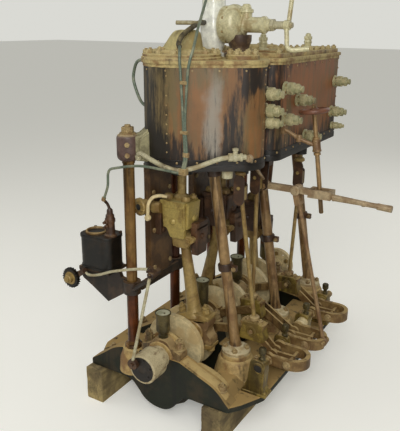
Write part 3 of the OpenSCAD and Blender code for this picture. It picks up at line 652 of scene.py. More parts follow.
class Palette:
    """Every finish of the engine, made once."""

    def __init__(self) -> None:
        """Builds the materials."""
        groups = ShaderGroups()
        front_black = (
            ScorchAndHighlight(-62, 1300, 84, 240, 0.66), ScorchAndHighlight(-40, 1140, 110, 95, 0.75),
            ScorchAndHighlight(60, 1150, 60, 90, 0.30), ScorchAndHighlight(60, 1270, 30, 90, -0.35),
            ScorchAndHighlight(120, 1300, 55, 130, -0.25), ScorchAndHighlight(222, 1200, 26, 170, 0.75),
            ScorchAndHighlight(262, 1395, 24, 84, 0.95), ScorchAndHighlight(288, 1425, 16, 60, 0.6),
            ScorchAndHighlight(284, 1210, 12, 90, -0.5), ScorchAndHighlight(168, 1160, 26, 90, 0.35),
        )
        front_grey = (ScorchAndHighlight(-75, 1310, 120, 260, 1.1), ScorchAndHighlight(100, 1420, 90, 60, 0.35),
            ScorchAndHighlight(250, 1180, 30, 120, 0.3))
        # Painted highlight on the front casing, where a lamp's reflection falls
        front_painted_highlights = (ScorchAndHighlight(172, 1250, 30, 170, 0.85), ScorchAndHighlight(176, 1130, 34, 70, 0.5),
            ScorchAndHighlight(165, 1400, 26, 70, 0.25))
        rear_black = (
            ScorchAndHighlight(390, 1320, 40, 210, 0.75), ScorchAndHighlight(470, 1430, 46, 60, 0.45),
            ScorchAndHighlight(700, 1130, 320, 60, 0.35), ScorchAndHighlight(1050, 1180, 90, 120, 0.6),
            ScorchAndHighlight(640, 1310, 180, 110, -0.35), ScorchAndHighlight(930, 1330, 120, 120, -0.2),
        )
        rear_grey = (ScorchAndHighlight(450, 1200, 90, 130, 0.4), ScorchAndHighlight(1060, 1380, 60, 100, 0.3))
        finishes = (
            WeatheredWood("old_timber", (162, 142, 94), (196, 172, 114), (58, 46, 34),
                (176, 156, 112), worn=0.5, soiled=0.5, dusty=0.55, rough=0.85, bump=0.5),
            Finish("bed_paint", (19, 25, 5), (48, 38, 18), (9, 10, 4), (184, 152, 94),
                patch_scale=9, soiled=0.5, dusty=0.92, rough=0.62, bump=0.35),
            Finish("bed_tan", (188, 158, 100), (124, 88, 50), (44, 32, 18), (198, 172, 114),
                worn=0.46, patch_scale=12, soiled=0.38, dusty=0.85, rough=0.55, bump=0.45),
            Finish("cap_iron", (140, 114, 74), (92, 66, 38), (28, 21, 13), (176, 150, 102),
                worn=0.5, patch_scale=16, soiled=0.45, dusty=0.8, bump=0.4),
            Finish("cup_bronze", (96, 84, 48), (58, 50, 28), (24, 22, 13), (138, 128, 88), worn=0.5,
                patch_scale=24, dusty=0.4, rough=0.35, metallic=0.35),
            Finish("cup_lid", (178, 178, 146), (138, 134, 98), (30, 23, 16), (196, 194, 164),
                patch_scale=30, soiled=0.2, rough=0.45),
            Finish("crank_steel", (228, 208, 158), (196, 170, 120), (110, 86, 52), (216, 198, 152),
                patch_scale=10, soiled=0.2, dusty=0.5, metallic=0.1),
            Finish("rod_steel", (162, 136, 80), (116, 88, 46), (50, 36, 18), (184, 160, 108),
                worn=0.42, patch_scale=13, soiled=0.38, rough=0.4, metallic=0.2),
            Finish("drum_paint", (196, 180, 140), (122, 98, 66), (40, 28, 20), (204, 190, 152),
                worn=0.34, patch_scale=34, soiled=0.2, dusty=0.5, rough=0.6),
            Finish("drum_face", (24, 17, 11), (46, 34, 22), (9, 7, 5), (84, 66, 44), patch_scale=22,
                soiled=0.4, dusty=0.2, rough=0.35),
            Finish("crosshead_brass", (174, 152, 84), (122, 98, 48), (50, 38, 16), (184, 166, 106),
                worn=0.38, patch_scale=18, rough=0.36, metallic=0.2),
            Finish("dark_iron", (66, 44, 28), (96, 66, 42), (20, 14, 9), (140, 112, 76),
                patch_scale=15, soiled=0.5, dusty=0.45, rough=0.42),
            Finish("guide_iron", (104, 76, 44), (62, 42, 24), (24, 17, 10), (140, 112, 74),
                worn=0.5, patch_scale=9, soiled=0.5, dusty=0.4, rough=0.42),
            Finish("column_tan", (142, 108, 58), (104, 68, 32), (40, 24, 12), (172, 142, 96),
                worn=0.5, patch_scale=6, soiled=0.55, grime_scale=34, dusty=0.4, rough=0.2,
                metallic=0.5),
            Finish("column_dark", (112, 58, 24), (62, 32, 14), (24, 13, 7), (126, 92, 56), worn=0.5,
                patch_scale=6, soiled=0.5, grime_scale=34, dusty=0.35, rough=0.24, metallic=0.45),
            Finish("column_pink", (164, 132, 88), (112, 80, 46), (48, 32, 18), (186, 160, 112),
                worn=0.45, patch_scale=7, soiled=0.5, grime_scale=36, dusty=0.5, rough=0.32,
                metallic=0.3),
            Finish("head_casting", (98, 76, 68), (66, 44, 36), (32, 20, 16), (184, 162, 120),
                worn=0.45, patch_scale=12, dusty=0.85, rough=0.45, bump=0.4),
            Finish("soot_iron", (26, 22, 18), (44, 34, 25), (10, 9, 8), (86, 72, 52),
                patch_scale=12, soiled=0.4, dusty=0.3, rough=0.4),
            # Front casing: burnt paint with a painted highlight
            BurntPaint("casing_paint_front_and_highlight", (134, 92, 50), (112, 80, 46), (18, 16, 15),
                (164, 138, 92), worn=0.5, patch_scale=7, dusty=0.7, rough=0.46, bump=0.2,
                grain_scale=40, scorched=front_black, greyed=front_grey, painted_highlights=front_painted_highlights),
            BurntPaint("casing_paint_rear", (146, 92, 52), (120, 82, 50), (20, 17, 15),
                (164, 138, 92), worn=0.5, patch_scale=7, dusty=0.7, bump=0.2, grain_scale=40,
                scorched=rear_black, greyed=rear_grey, runs=Axis.Y),
            Finish("top_dust", (188, 168, 112), (130, 98, 60), (58, 46, 28), (198, 180, 126),
                worn=0.42, patch_scale=16, soiled=0.32, dusty=0.8, rough=0.72, bump=0.5),
            Finish("cover_iron", (180, 158, 106), (122, 90, 56), (54, 42, 26), (200, 182, 128),
                worn=0.45, patch_scale=18, dusty=0.85, rough=0.62, bump=0.45),
            Finish("dome_pale", (182, 168, 112), (150, 130, 78), (84, 70, 40), (194, 182, 128),
                soiled=0.3, rough=0.6, bump=0.35),
            Finish("pipe_foil", (250, 250, 236), (226, 226, 196), (140, 124, 84), (228, 224, 192),
                worn=0.26, patch_scale=8, soiled=0.2, dusty=0.3, rough=0.2),
            Finish("valve_metal", (210, 202, 160), (160, 140, 98), (64, 50, 32), (222, 216, 178),
                worn=0.34, patch_scale=18, soiled=0.28, rough=0.32, metallic=0.1),
            Finish("verdigris", (190, 180, 136), (140, 138, 100), (92, 68, 38), (200, 192, 152),
                worn=0.45, patch_scale=26, soiled=0.4, dusty=0.5, metallic=0.1, bump=0.4),
            Finish("pale_pipe", (188, 180, 146), (150, 134, 98), (86, 70, 48), (196, 186, 150),
                patch_scale=20, soiled=0.3, dusty=0.4),
            Finish("thin_pipe", (104, 116, 98), (134, 136, 112), (44, 42, 32), (150, 148, 118),
                patch_scale=24, soiled=0.3, dusty=0.4, rough=0.4, metallic=0.2),
            Finish("foot_pale", (196, 178, 134), (150, 122, 80), (70, 52, 32), (210, 196, 158),
                patch_scale=22, soiled=0.3, dusty=0.8, rough=0.6, bump=0.5),
            Finish("head_web", (150, 142, 104), (104, 96, 66), (48, 42, 28), (190, 182, 142),
                worn=0.45, patch_scale=16, soiled=0.4, rough=0.6, bump=0.5),
            Finish("hose_rubber", (62, 54, 36), (96, 84, 56), (24, 21, 14), (140, 128, 90),
                worn=0.45, patch_scale=22, soiled=0.4, rough=0.6),
            Finish("gear_iron", (146, 118, 72), (102, 74, 40), (34, 24, 14), (186, 160, 108),
                worn=0.5, soiled=0.45, dusty=0.78, rough=0.46, metallic=0.25, bump=0.4),
            Finish("gear_brass", (148, 126, 58), (98, 78, 36), (36, 28, 14), (174, 150, 96),
                worn=0.5, patch_scale=18, soiled=0.45, dusty=0.65, rough=0.42, metallic=0.3),
            Finish("link_rust", (154, 124, 86), (112, 80, 52), (50, 34, 24), (168, 138, 100),
                worn=0.45, dusty=0.4, rough=0.45, metallic=0.2),
            Finish("lever_steel", (186, 164, 128), (136, 110, 80), (52, 40, 30), (182, 158, 126),
                worn=0.45, patch_scale=16, rough=0.4, metallic=0.25),
            Finish("wheel_red", (122, 78, 56), (92, 56, 40), (46, 30, 22), (138, 100, 76),
                worn=0.45, patch_scale=22, soiled=0.3, dusty=0.4, rough=0.42),
            Finish("oily_black", (17, 15, 11), (40, 30, 19), (5, 5, 4), (80, 64, 42), soiled=0.5,
                dusty=0.45, rough=0.36, bump=0.4),
            Finish("fastener", (170, 146, 100), (122, 92, 58), (50, 38, 24), (192, 170, 122),
                worn=0.45, patch_scale=30, soiled=0.3, rough=0.45, metallic=0.2),
            Finish("valve_burnt", (112, 90, 64), (70, 48, 34), (28, 20, 15), (160, 140, 100),
                worn=0.5, patch_scale=20, soiled=0.5, dusty=0.4),
            Finish("dusty_nut", (190, 172, 122), (152, 126, 82), (84, 62, 38), (200, 184, 134),
                patch_scale=30, soiled=0.25, dusty=1.0, rough=0.65),
            Finish("bracket_brown", (42, 31, 22), (66, 48, 33), (12, 10, 8), (104, 80, 54),
                worn=0.45, soiled=0.45, dusty=0.8, rough=0.42),
            # Near-black finish of flat discs that stand in for holes: painted shade
            Finish("painted_hole_shade", (12, 11, 9), (24, 20, 15), (30, 23, 16), (50, 42, 30), worn=0.45,
                dusty=0.3, rough=0.35),
        )
        self.materials = {finish.name: finish.make(groups) for finish in finishes}

    def __getitem__(self, name: str) -> bpy.types.Material:
        """The material of a finish.

        Args:
            name: Name of the finish.

        Returns:
            Its material.
        """
        return self.materials[name]


# Mesh work


class Workpiece:
    """A piece that is put together from small bmesh shapes, in engine millimetres."""

    def __init__(self) -> None:
        """Starts an empty piece."""
        self.mesh = bmesh.new()

    def join(self, part: bmesh.types.BMesh, matrix: Matrix, bevel: float = 0.0,
            segments: int = 2) -> None:
        """Rounds a shape's sharp edges, places it and adds it to the piece.

        Args:
            part: The shape, which is freed.
            matrix: Its place in engine millimetres.
            bevel: Width of the rounding.
            segments: Steps of the rounding.
        """
        if bevel > 0:
            sharp = [e for e in part.edges
                if len(e.link_faces) == 2 and e.calc_face_angle(0.0) > ROUND_FROM]
            bmesh.ops.bevel(part, geom=sharp, offset=bevel, offset_type="OFFSET", segments=segments,
                profile=0.5, affect="EDGES", clamp_overlap=True, material=-1)
        bmesh.ops.transform(part, matrix=matrix, verts=part.verts[:])
        keep = bpy.data.meshes.new("keep")
        part.to_mesh(keep)
        part.free()
        self.mesh.from_mesh(keep)
        bpy.data.meshes.remove(keep)

    @staticmethod
    def stand(axis: Vector) -> Matrix:
        """A turn that takes Z to an axis.

        Args:
            axis: The axis.

        Returns:
            The turn.
        """
        return Vector((0, 0, 1)).rotation_difference(axis.normalized()).to_matrix().to_4x4()

    def block(self, low: Point, high: Point, bevel: float = 2.0,
            turn: Matrix | None = None) -> "Workpiece":
        """Adds a box between two corners.

        Args:
            low: Lowest corner.
            high: Highest corner.
            bevel: Width of the rounding.
            turn: A turn around the box's middle.

        Returns:
            This piece.
        """
        part = bmesh.new()
        bmesh.ops.create_cube(part, size=1.0)
        size = [abs(b - a) for a, b in zip(low, high)]
        middle = Vector([(a + b) / 2 for a, b in zip(low, high)])
        bmesh.ops.scale(part, vec=size, verts=part.verts[:])
        self.join(part, Matrix.Translation(middle) @ (turn or Matrix.Identity(4)), bevel)
        return self

    def rod(self, start: Sequence[float], end: Sequence[float], radius: float,
            tip: float | None = None, bevel: float = 1.0, sides: int = 24) -> "Workpiece":
        """Adds a round bar between two points.

        Args:
            start: Middle of the first end.
            end: Middle of the second end.
            radius: Radius at the start.
            tip: Radius at the end, where it differs.
            bevel: Width of the rounding.
            sides: Number of sides.

        Returns:
            This piece.
        """
        a, b = Vector(start), Vector(end)
        part = bmesh.new()
        bmesh.ops.create_cone(part, cap_ends=True, segments=sides, radius1=radius,
            radius2=radius if tip is None else tip, depth=(b - a).length)
        self.join(part, Matrix.Translation((a + b) / 2) @ self.stand(b - a), bevel)
        return self

    def turned(self, base: Sequence[float], axis: Axis | Vector, profile: Sequence[Corner],
            sides: int = 32) -> "Workpiece":
        """Adds a piece turned on a lathe.

        Args:
            base: Point on its axis from which the heights count.
            axis: Way along which it stands.
            profile: Radius and height of each point, from one end to the other.
            sides: Steps around.

        Returns:
            This piece.
        """
        part = bmesh.new()
        verts = [part.verts.new((r, 0.0, h)) for r, h in profile]
        edges = [part.edges.new(pair) for pair in zip(verts, verts[1:])]
        bmesh.ops.spin(part, geom=verts + edges, cent=(0, 0, 0), axis=(0, 0, 1), angle=math.tau,
            steps=sides, use_merge=True)
        bmesh.ops.remove_doubles(part, verts=part.verts[:], dist=WELD)
        holes = [e for e in part.edges if e.is_boundary]
        if holes:
            bmesh.ops.holes_fill(part, edges=holes, sides=0)
        bmesh.ops.recalc_face_normals(part, faces=part.faces[:])
        way = axis.value if isinstance(axis, Axis) else axis
        self.join(part, Matrix.Translation(Vector(base)) @ self.stand(way))
        return self

    def nut(self, at: Sequence[float], axis: Vector, across: float, height: float,
            turn: float = 0.0, stud: float = 0.0) -> "Workpiece":
        """Adds a hexagonal nut with rounded corners, and the stud's end through it.

        Args:
            at: Middle of its seat.
            axis: Way that it stands.
            across: Width over the flats.
            height: Height of the nut.
            turn: Degrees by which it is turned.
            stud: Length of the stud over the nut, 0 for a bolt head.

        Returns:
            This piece.
        """
        part = bmesh.new()
        corner = across / math.sqrt(3)
        bmesh.ops.create_cone(part, cap_ends=True, segments=6, radius1=corner, radius2=corner,
            depth=height)
        way = axis.normalized()
        stand = self.stand(way) @ Matrix.Rotation(math.radians(turn), 4, "Z")
        self.join(part, Matrix.Translation(Vector(at) + way * height / 2) @ stand, across * 0.07)
        if stud > 0:
            self.rod(at, Vector(at) + way * (height + stud), across * 0.27, bevel=across * 0.05,
                sides=14)
        return self

    def tube(self, points: Sequence[Sequence[float]], radius: float, sides: int = 14,
            smooth: int = 6) -> "Workpiece":
        """Adds a bent pipe on a smooth line through its points.

        Args:
            points: Points of the line.
            radius: Radius of the pipe.
            sides: Sides of its section.
            smooth: Steps between two points.

        Returns:
            This piece.
        """
        line = smooth_line([Vector(p) for p in points], smooth)
        part = bmesh.new()
        ring = None
        turn = self.stand(line[1] - line[0])
        for index, point in enumerate(line):
            if index > 0:
                way = (line[min(index + 1, len(line) - 1)] - line[index - 1]).normalized()
                now = (turn.to_3x3() @ Vector((0, 0, 1))).normalized()
                turn = now.rotation_difference(way).to_matrix().to_4x4() @ turn
            if ring is None:
                made = bmesh.ops.create_circle(part, cap_ends=True, segments=sides, radius=radius)
                ring = made["verts"]
                bmesh.ops.transform(part, matrix=Matrix.Translation(point) @ turn, verts=ring)
                face = part.faces[:][0]
                last = Matrix.Translation(point) @ turn
                continue
            made = bmesh.ops.extrude_face_region(part, geom=[face])
            face = [g for g in made["geom"] if isinstance(g, bmesh.types.BMFace)][0]
            place = Matrix.Translation(point) @ turn
            bmesh.ops.transform(part, matrix=place @ last.inverted(), verts=face.verts[:])
            last = place
        bmesh.ops.recalc_face_normals(part, faces=part.faces[:])
        self.join(part, Matrix.Identity(4))
        return self

    def ring(self, centre: Sequence[float], axis: Vector, radius: float, wire: float,
            sides: int = 48) -> "Workpiece":
        """Adds a ring of round wire.

        Args:
            centre: Its middle.
            axis: Way that its axis points.
            radius: Radius to the wire's middle.
            wire: Radius of the wire.
            sides: Steps around.

        Returns:
            This piece.
        """
        part = bmesh.new()
        made = bmesh.ops.create_circle(part, cap_ends=False, segments=14, radius=wire)
        bmesh.ops.rotate(part, verts=made["verts"], cent=(0, 0, 0),
            matrix=Matrix.Rotation(math.pi / 2, 3, "X"))
        bmesh.ops.translate(part, verts=made["verts"], vec=(radius, 0, 0))
        bmesh.ops.spin(part, geom=part.verts[:] + part.edges[:], cent=(0, 0, 0), axis=(0, 0, 1),
            angle=math.tau, steps=sides, use_merge=True)
        bmesh.ops.remove_doubles(part, verts=part.verts[:], dist=WELD)
        bmesh.ops.recalc_face_normals(part, faces=part.faces[:])
        self.join(part, Matrix.Translation(Vector(centre)) @ self.stand(axis))
        return self

    def plate(self, outline: Sequence[Corner], low: float, high: float, axis: Axis = Axis.Y,
            bevel: float = 2.0) -> "Workpiece":
        """Adds a flat plate cut to an outline.

        Args:
            outline: Corners; X and Z for a plate across Y, X and Y for one across Z,
                and Y and Z for one across X.
            low: Where its thickness starts.
            high: Where it ends.
            axis: Way of its thickness.
            bevel: Width of the rounding.

        Returns:
            This piece.
        """
        part = bmesh.new()
        order = {Axis.X: (2, 0, 1), Axis.Y: (0, 2, 1), Axis.Z: (0, 1, 2)}[axis]
        corners = [part.verts.new([(u, v, low)[i] for i in order]) for u, v in outline]
        made = bmesh.ops.extrude_face_region(part, geom=[part.faces.new(corners)])
        top = [g for g in made["geom"] if isinstance(g, bmesh.types.BMVert)]
        bmesh.ops.translate(part, vec=axis.value * (high - low), verts=top)
        bmesh.ops.recalc_face_normals(part, faces=part.faces[:])
        self.join(part, Matrix.Identity(4), bevel)
        return self

    def finish(self, name: str, material: bpy.types.Material, slot: str, body: str = ENGINE,
            replaces: Iterable[str] = ()) -> bpy.types.Object:
        """Makes the piece an object in the scene.

        Args:
            name: Name of the object.
            material: Its finish.
            slot: The record's material slot; not used.
            body: CAD body that it rides on.
            replaces: CAD nodes that it stands for.

        Returns:
            The object.
        """
        bmesh.ops.transform(self.mesh, matrix=Matrix.Scale(MM, 4) @ Matrix.Translation(SHIFT),
            verts=self.mesh.verts[:])
        data = bpy.data.meshes.new(name)
        self.mesh.to_mesh(data)
        self.mesh.free()
        return place_object(name, data, material, body, replaces)


def smooth_line(points: list[Vector], steps: int) -> list[Vector]:
    """A smooth line through points.

    Args:
        points: Points that it passes.
        steps: Steps between two points.

    Returns:
        The points of the line.
    """
    if len(points) < 3 or steps < 2:
        return points
    padded = [2 * points[0] - points[1]] + points + [2 * points[-1] - points[-2]]
    line: list[Vector] = []
    for a, b, c, d in zip(padded, padded[1:], padded[2:], padded[3:]):
        for step in range(steps):
            t = step / steps
            line.append(0.5 * ((2 * b) + (c - a) * t + (2 * a - 5 * b + 4 * c - d) * t * t
                + (3 * b - a - 3 * c + d) * t**3))
    line.append(points[-1])
    return line


def place_object(name: str, data: bpy.types.Mesh, material: bpy.types.Material,
        body: str, replaces: Iterable[str]) -> bpy.types.Object:
    """Links a finished mesh, shades it and hangs it on its body.

    Args:
        name: Name of the object.
        data: Its mesh, in the part's frame.
        material: Its finish.
        body: CAD body that it rides on.
        replaces: CAD nodes that it stands for.

    Returns:
        The object.
    """
    data.polygons.foreach_set("use_smooth", [True] * len(data.polygons))
    data.set_sharp_from_angle(angle=SHARP_FROM)
    data.materials.append(material)
    obj = bpy.data.objects.new(name, data)
    bpy.context.scene.collection.objects.link(obj)
    even = obj.modifiers.new("even_faces", "WEIGHTED_NORMAL")
    even.keep_sharp = True
    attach(obj, body)
    for node in replaces:
        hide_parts(node)
    LOG.info("%s: %d faces", name, len(data.polygons))
    return obj


def soften(node: str, material: bpy.types.Material, width: float) -> bpy.types.Object:
    """Stands a copy of a CAD node with rounded edges in its place.

    Args:
        node: Name of the node.
        material: Its finish.
        width: Width of the rounding, in millimetres.

    Returns:
        The new object.
    """
    source = frame["nodes"][node]
    mesh = bmesh.new()
    mesh.from_mesh(source.data)
    bmesh.ops.remove_doubles(mesh, verts=mesh.verts[:], dist=CAST_WELD)
    bmesh.ops.dissolve_limit(mesh, angle_limit=CAST_FLAT, verts=mesh.verts[:],
        edges=mesh.edges[:], use_dissolve_boundaries=False)
    data = bpy.data.meshes.new(f"{node}_cast")
    mesh.to_mesh(data)
    mesh.free()
    obj = place_object(f"{node}_cast", data, material, source["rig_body"], [node])
    obj.modifiers.clear()
    rounding = obj.modifiers.new("rounding", "BEVEL")
    rounding.width = width * MM
    rounding.segments = 2
    rounding.limit_method = "ANGLE"
    rounding.angle_limit = CAST_FROM
    rounding.use_clamp_overlap = True
    even = obj.modifiers.new("even_faces", "WEIGHTED_NORMAL")
    even.keep_sharp = True
    return obj


def dress(node: str, material: bpy.types.Material) -> None:
    """Gives a CAD node its finish.

    Args:
        node: Name of the node.
        material: Its finish.
    """
    data = frame["nodes"][node].data
    data.materials.clear()
    data.materials.append(material)


@dataclass
class Studio:
    """Camera, lamps, floor and backdrop."""

    eye: Point = (1.0801, -2.2565, 1.600)
    yaw: float = 31.13
    down: float = 17.99
    roll: float = 0.476
    lens: float = 49.57
    sensor: float = 36.0
    far: float = 60.0
    floor_half: float = 40.0
    floor_z: float = -0.0005
    sky: Colour = (226, 226, 220)
    glow: float = 0.34
    backdrop: float = 0.92

    def build(self) -> None:
        """Sets everything up."""
        self.camera()
        self.lamps()
        self.floor()

    def camera(self) -> None:
        """Stands the camera where the photograph was taken."""
        data = bpy.data.cameras.new("camera")
        data.sensor_width = self.sensor
        data.lens = self.lens
        data.clip_end = self.far
        camera = bpy.data.objects.new("camera", data)
        turn = (Matrix.Rotation(math.radians(self.yaw), 4, "Z")
            @ Matrix.Rotation(math.radians(90 - self.down), 4, "X")
            @ Matrix.Rotation(math.radians(self.roll), 4, "Z"))
        camera.matrix_world = Matrix.Translation(self.eye) @ turn
        bpy.context.scene.collection.objects.link(camera)
        bpy.context.scene.camera = camera

    def lamps(self) -> None:
        """Hangs soft lamps and a small one near the camera, and lights the world."""
        aim = Vector((0.0, 0.0, 0.9))
        for name, place, size, watts in (
            ("key", (1.2, -3.2, 3.4), 2.0, 64.0),
            ("fill", (-3.4, -1.6, 2.6), 3.0, 30.0),
            ("back", (1.6, 3.6, 3.0), 3.0, 34.0),
            ("near", (1.05, -2.3, 1.85), 0.30, 11.0),
            ("strip", (1.74, -2.2, 1.15), 0.24, 6.0),
        ):
            data = bpy.data.lights.new(name, "AREA")
            data.size = size
            if name == "strip":
                data.shape = "RECTANGLE"
                data.size_y = 1.3
            data.energy = watts
            lamp = bpy.data.objects.new(name, data)
            lamp.location = place
            lamp.rotation_euler = (aim - Vector(place)).to_track_quat("-Z", "Y").to_euler()
            bpy.context.scene.collection.objects.link(lamp)
        world = bpy.data.worlds.new("world")
        world.use_nodes = True
        net = Net(world.node_tree)
        path = net.add("LightPath", {}).outputs
        seen = net.math("MAXIMUM", path["Is Camera Ray"], path["Is Transmission Ray"])
        level = net.ramp(seen, 0.0, 1.0, self.glow, self.backdrop)
        inputs = {"Color": tone(*self.sky), "Strength": level}
        net.fill(world.node_tree.nodes["Background"], inputs)
        bpy.context.scene.world = world
        bpy.context.scene.view_settings.view_transform = "Standard"

    def floor(self) -> None:
        """Lays a plain pale floor."""
        mesh = bmesh.new()
        bmesh.ops.create_grid(mesh, x_segments=1, y_segments=1, size=self.floor_half)
        data = bpy.data.meshes.new("floor")
        mesh.to_mesh(data)
        mesh.free()
        material = bpy.data.materials.new("pale_floor")
        material.use_nodes = True
        net, nodes = Net(material.node_tree), material.node_tree.nodes
        inputs = {"Base Color": tone(236, 234, 226), "Roughness": 0.85}
        shader = net.fill(nodes["Principled BSDF"], inputs)
        path = net.add("LightPath", {}).outputs
        level = net.math("MULTIPLY", path["Is Camera Ray"], 0.36)
        glow = net.add("Emission", {"Color": tone(*self.sky), "Strength": level})
        both = net.add("AddShader", {0: shader.outputs[0], 1: glow.outputs[0]})
        net.fill(nodes["Material Output"], {"Surface": both.outputs[0]})
        data.materials.append(material)
        floor = bpy.data.objects.new("floor", data)
        floor.location = (0.0, 0.0, self.floor_z)
        bpy.context.scene.collection.objects.link(floor)


def near_outline(grow: float) -> list[Corner]:
    """Outline of the front casing in X and Y, grown by a margin.

    Args:
        grow: Margin.

    Returns:
        The corners, anticlockwise.
    """
    steps = 40
    (ax, ay, ar), (bx, by, br) = (0.0, 158.0, 142.0 + grow), (194.0, 252.0, 100.0 + grow)
    way = math.atan2(by - ay, bx - ax)
    open_angle = math.acos((ar - br) / math.hypot(bx - ax, by - ay))
    big = [way + open_angle + (math.tau - 2 * open_angle) * i / steps for i in range(steps + 1)]
    small = [way - open_angle + 2 * open_angle * i / steps for i in range(steps + 1)]
    return [(ax + ar * math.cos(a), ay + ar * math.sin(a)) for a in big] + [
        (bx + br * math.cos(a), by + br * math.sin(a)) for a in small]


def rounded(low: Corner, high: Corner, radius: float) -> list[Corner]:
    """Rectangle with round corners.

    Args:
        low: Its lower left corner.
        high: Its upper right corner.
        radius: Radius of the corners.

    Returns:
        The outline's points.
    """
    corners = ((high[0] - radius, high[1] - radius), (low[0] + radius, high[1] - radius),
        (low[0] + radius, low[1] + radius), (high[0] - radius, low[1] + radius))
    points = []
    for quarter, (x, y) in enumerate(corners):
        for step in range(7):
            a = math.pi / 2 * (quarter + step / 6)
            points.append((x + radius * math.cos(a), y + radius * math.sin(a)))
    return points


def far_outline(grow: float) -> list[Corner]:
    """Outline of the rear casing in X and Y, grown by a margin.

    Args:
        grow: Margin.

    Returns:
        The corners, anticlockwise.
    """
    steps = 12
    x0, x1, y0, y1 = -142.0 - grow, 295.0 + grow, 372.0 - grow, 1085.0 + grow
    points = []
    for cx, cy, r, start in ((x0 + 60, y0 + 60, 60, math.pi), (x1 - 60, y0 + 60, 60, 1.5 * math.pi),
            (x1 - 40, y1 - 40, 40, 0.0), (x0 + 100, y1 - 100, 100, 0.5 * math.pi)):
        for i in range(steps + 1):
            a = start + 0.5 * math.pi * i / steps
            points.append((cx + r * math.cos(a), cy + r * math.sin(a)))
    return points


def along(outline: Sequence[Corner], spacing: float) -> list[tuple[Vector, Vector]]:
    """Evenly spaced places on a closed outline.

    Args:
        outline: Its corners, anticlockwise.
        spacing: Distance between two places.

    Returns:
        A place and the way out for each.
    """
    spots = []
    left = spacing / 2
    for a, b in zip(outline, list(outline[1:]) + [outline[0]]):
        va, vb = Vector((*a, 0.0)), Vector((*b, 0.0))
        run = (vb - va).length
        while left <= run and run > 0:
            way = (vb - va).normalized()
            spots.append((va + way * left, Vector((way.y, -way.x, 0.0))))
            left += spacing
        left -= run
    return spots


def around(count: int, radius: float, phase: float = 0.0) -> Iterator[tuple[int, float, float]]:
    """Evenly spaced places on a circle.

    Args:
        count: Number of places.
        radius: Radius of the circle.
        phase: Where the first one lies, as a share of the spacing.

    Returns:
        For each place its number and its two distances from the middle.
    """
    for step in range(count):
        angle = math.tau * (step + phase) / count
        yield step, radius * math.cos(angle), radius * math.sin(angle)


def polar(degrees: float, radius: float) -> Corner:
    """A place on a circle.

    Args:
        degrees: Angle at which it lies.
        radius: Radius of the circle.

    Returns:
        Its two distances from the middle.
    """
    angle = math.radians(degrees)
    return radius * math.cos(angle), radius * math.sin(angle)


def disc(radius: float, height: float) -> tuple[Corner, ...]:
    """Profile of a plain disc or pin.

    Args:
        radius: Its radius.
        height: Its height.

    Returns:
        The profile for a turned piece.
    """
    return (0, 0), (radius, 0), (radius, height), (0, height)


def boss(radius: float, height: float) -> tuple[Corner, ...]:
    """Profile of a pin's boss, chamfered at its foot.

    Args:
        radius: Its radius.
        height: Its height.

    Returns:
        The profile for a turned piece.
    """
    return (0, 0), (radius - 1, 0), (radius, 2), (radius, height), (0, height)


def washer(radius: float) -> tuple[Corner, ...]:
    """Profile of a washer with a small chamfer.

    Args:
        radius: Its radius.

    Returns:
        The profile for a turned piece.
    """
    return (0, 0), (radius, 0), (radius, 3), (radius - 2, 4), (0, 4)


def both_sides(half: Sequence[Corner]) -> list[Corner]:
    """An outline that is the same left and right.

    Args:
        half: Its right half.

    Returns:
        The whole outline.
    """
    return [*half, *((-u, v) for u, v in reversed(half))]


def curve(points: Sequence[Corner], steps: int) -> list[Corner]:
    """A smooth outline through points of an upright plane.

    Args:
        points: Points that it passes.
        steps: Steps between two points.

    Returns:
        The points of the outline.
    """
    line = smooth_line([Vector((u, 0, v)) for u, v in points], steps)
    return [(p.x, p.z) for p in line]


@dataclass
class SubAssembly:
    """A group of pieces that share a palette."""

    palette: Palette

    def build(self) -> None:
        """Builds and dresses every piece."""
        raise NotImplementedError

    def place(self, piece: Workpiece, name: str, finish: str, node: str, body: str = ENGINE,
            whole: bool = False) -> None:
        """Makes a piece an object in the scene.

        Args:
            piece: The piece.
            name: Name of the object.
            finish: Name of its finish.
            node: CAD node that it belongs to.
            body: CAD body that it rides on.
            whole: Whether it stands for that node.
        """
        piece.finish(name, self.palette[finish], node, body, [node] if whole else [])


@dataclass
class Timbers(SubAssembly):
    """Two old timbers under the bed."""

    height: float = 157.0
    width: float = 88.0
    rear: float = 1180.0

    def build(self) -> None:
        """Builds both timbers."""
        for name, x, y in (("timber_left", -375.0, -42.0), ("timber_right", 204.0, -20.0)):
            self.beam(name, x, y)

    def beam(self, name: str, x: float, y: float) -> None:
        """One timber with worn edges and a gently wavy surface.

        Args:
            name: Its CAD node.
            x: Left side.
            y: Front end.
        """
        part = bmesh.new()
        bmesh.ops.create_cube(part, size=1.0)
        bmesh.ops.scale(part, vec=(self.width, self.rear - y, self.height), verts=part.verts[:])
        bmesh.ops.translate(part, vec=(x + self.width / 2, (self.rear + y) / 2, self.height / 2),
            verts=part.verts[:])
        bmesh.ops.subdivide_edges(part, edges=part.edges[:], cuts=11, use_grid_fill=True)
        for vert in part.verts:
            px, py, pz = vert.co
            sway = (math.sin(px * 0.11 + py * 0.013 + pz * 0.07)
                + 0.6 * math.sin(py * 0.031 + pz * 0.23 + x))
            inward = Vector((px - x - self.width / 2, 0.0, pz - self.height / 2)).normalized()
            edge = min(px - x, x + self.width - px) < 1.0 and min(pz, self.height - pz) < 1.0
            wear = 3.2 + 1.6 * math.sin(py * 0.05) if edge and pz > 1.0 else 0.0
            lies_flat = pz < 0.5 and not edge
            vert.co -= inward * (1.0 + sway * 0.9 + wear) * (0.0 if lies_flat else 1.0)
            vert.co.z = max(vert.co.z, 0.0)
        piece = Workpiece()
        piece.join(part, Matrix.Identity(4))
        self.place(piece, f"{name}_wood", "old_timber", name, whole=True)


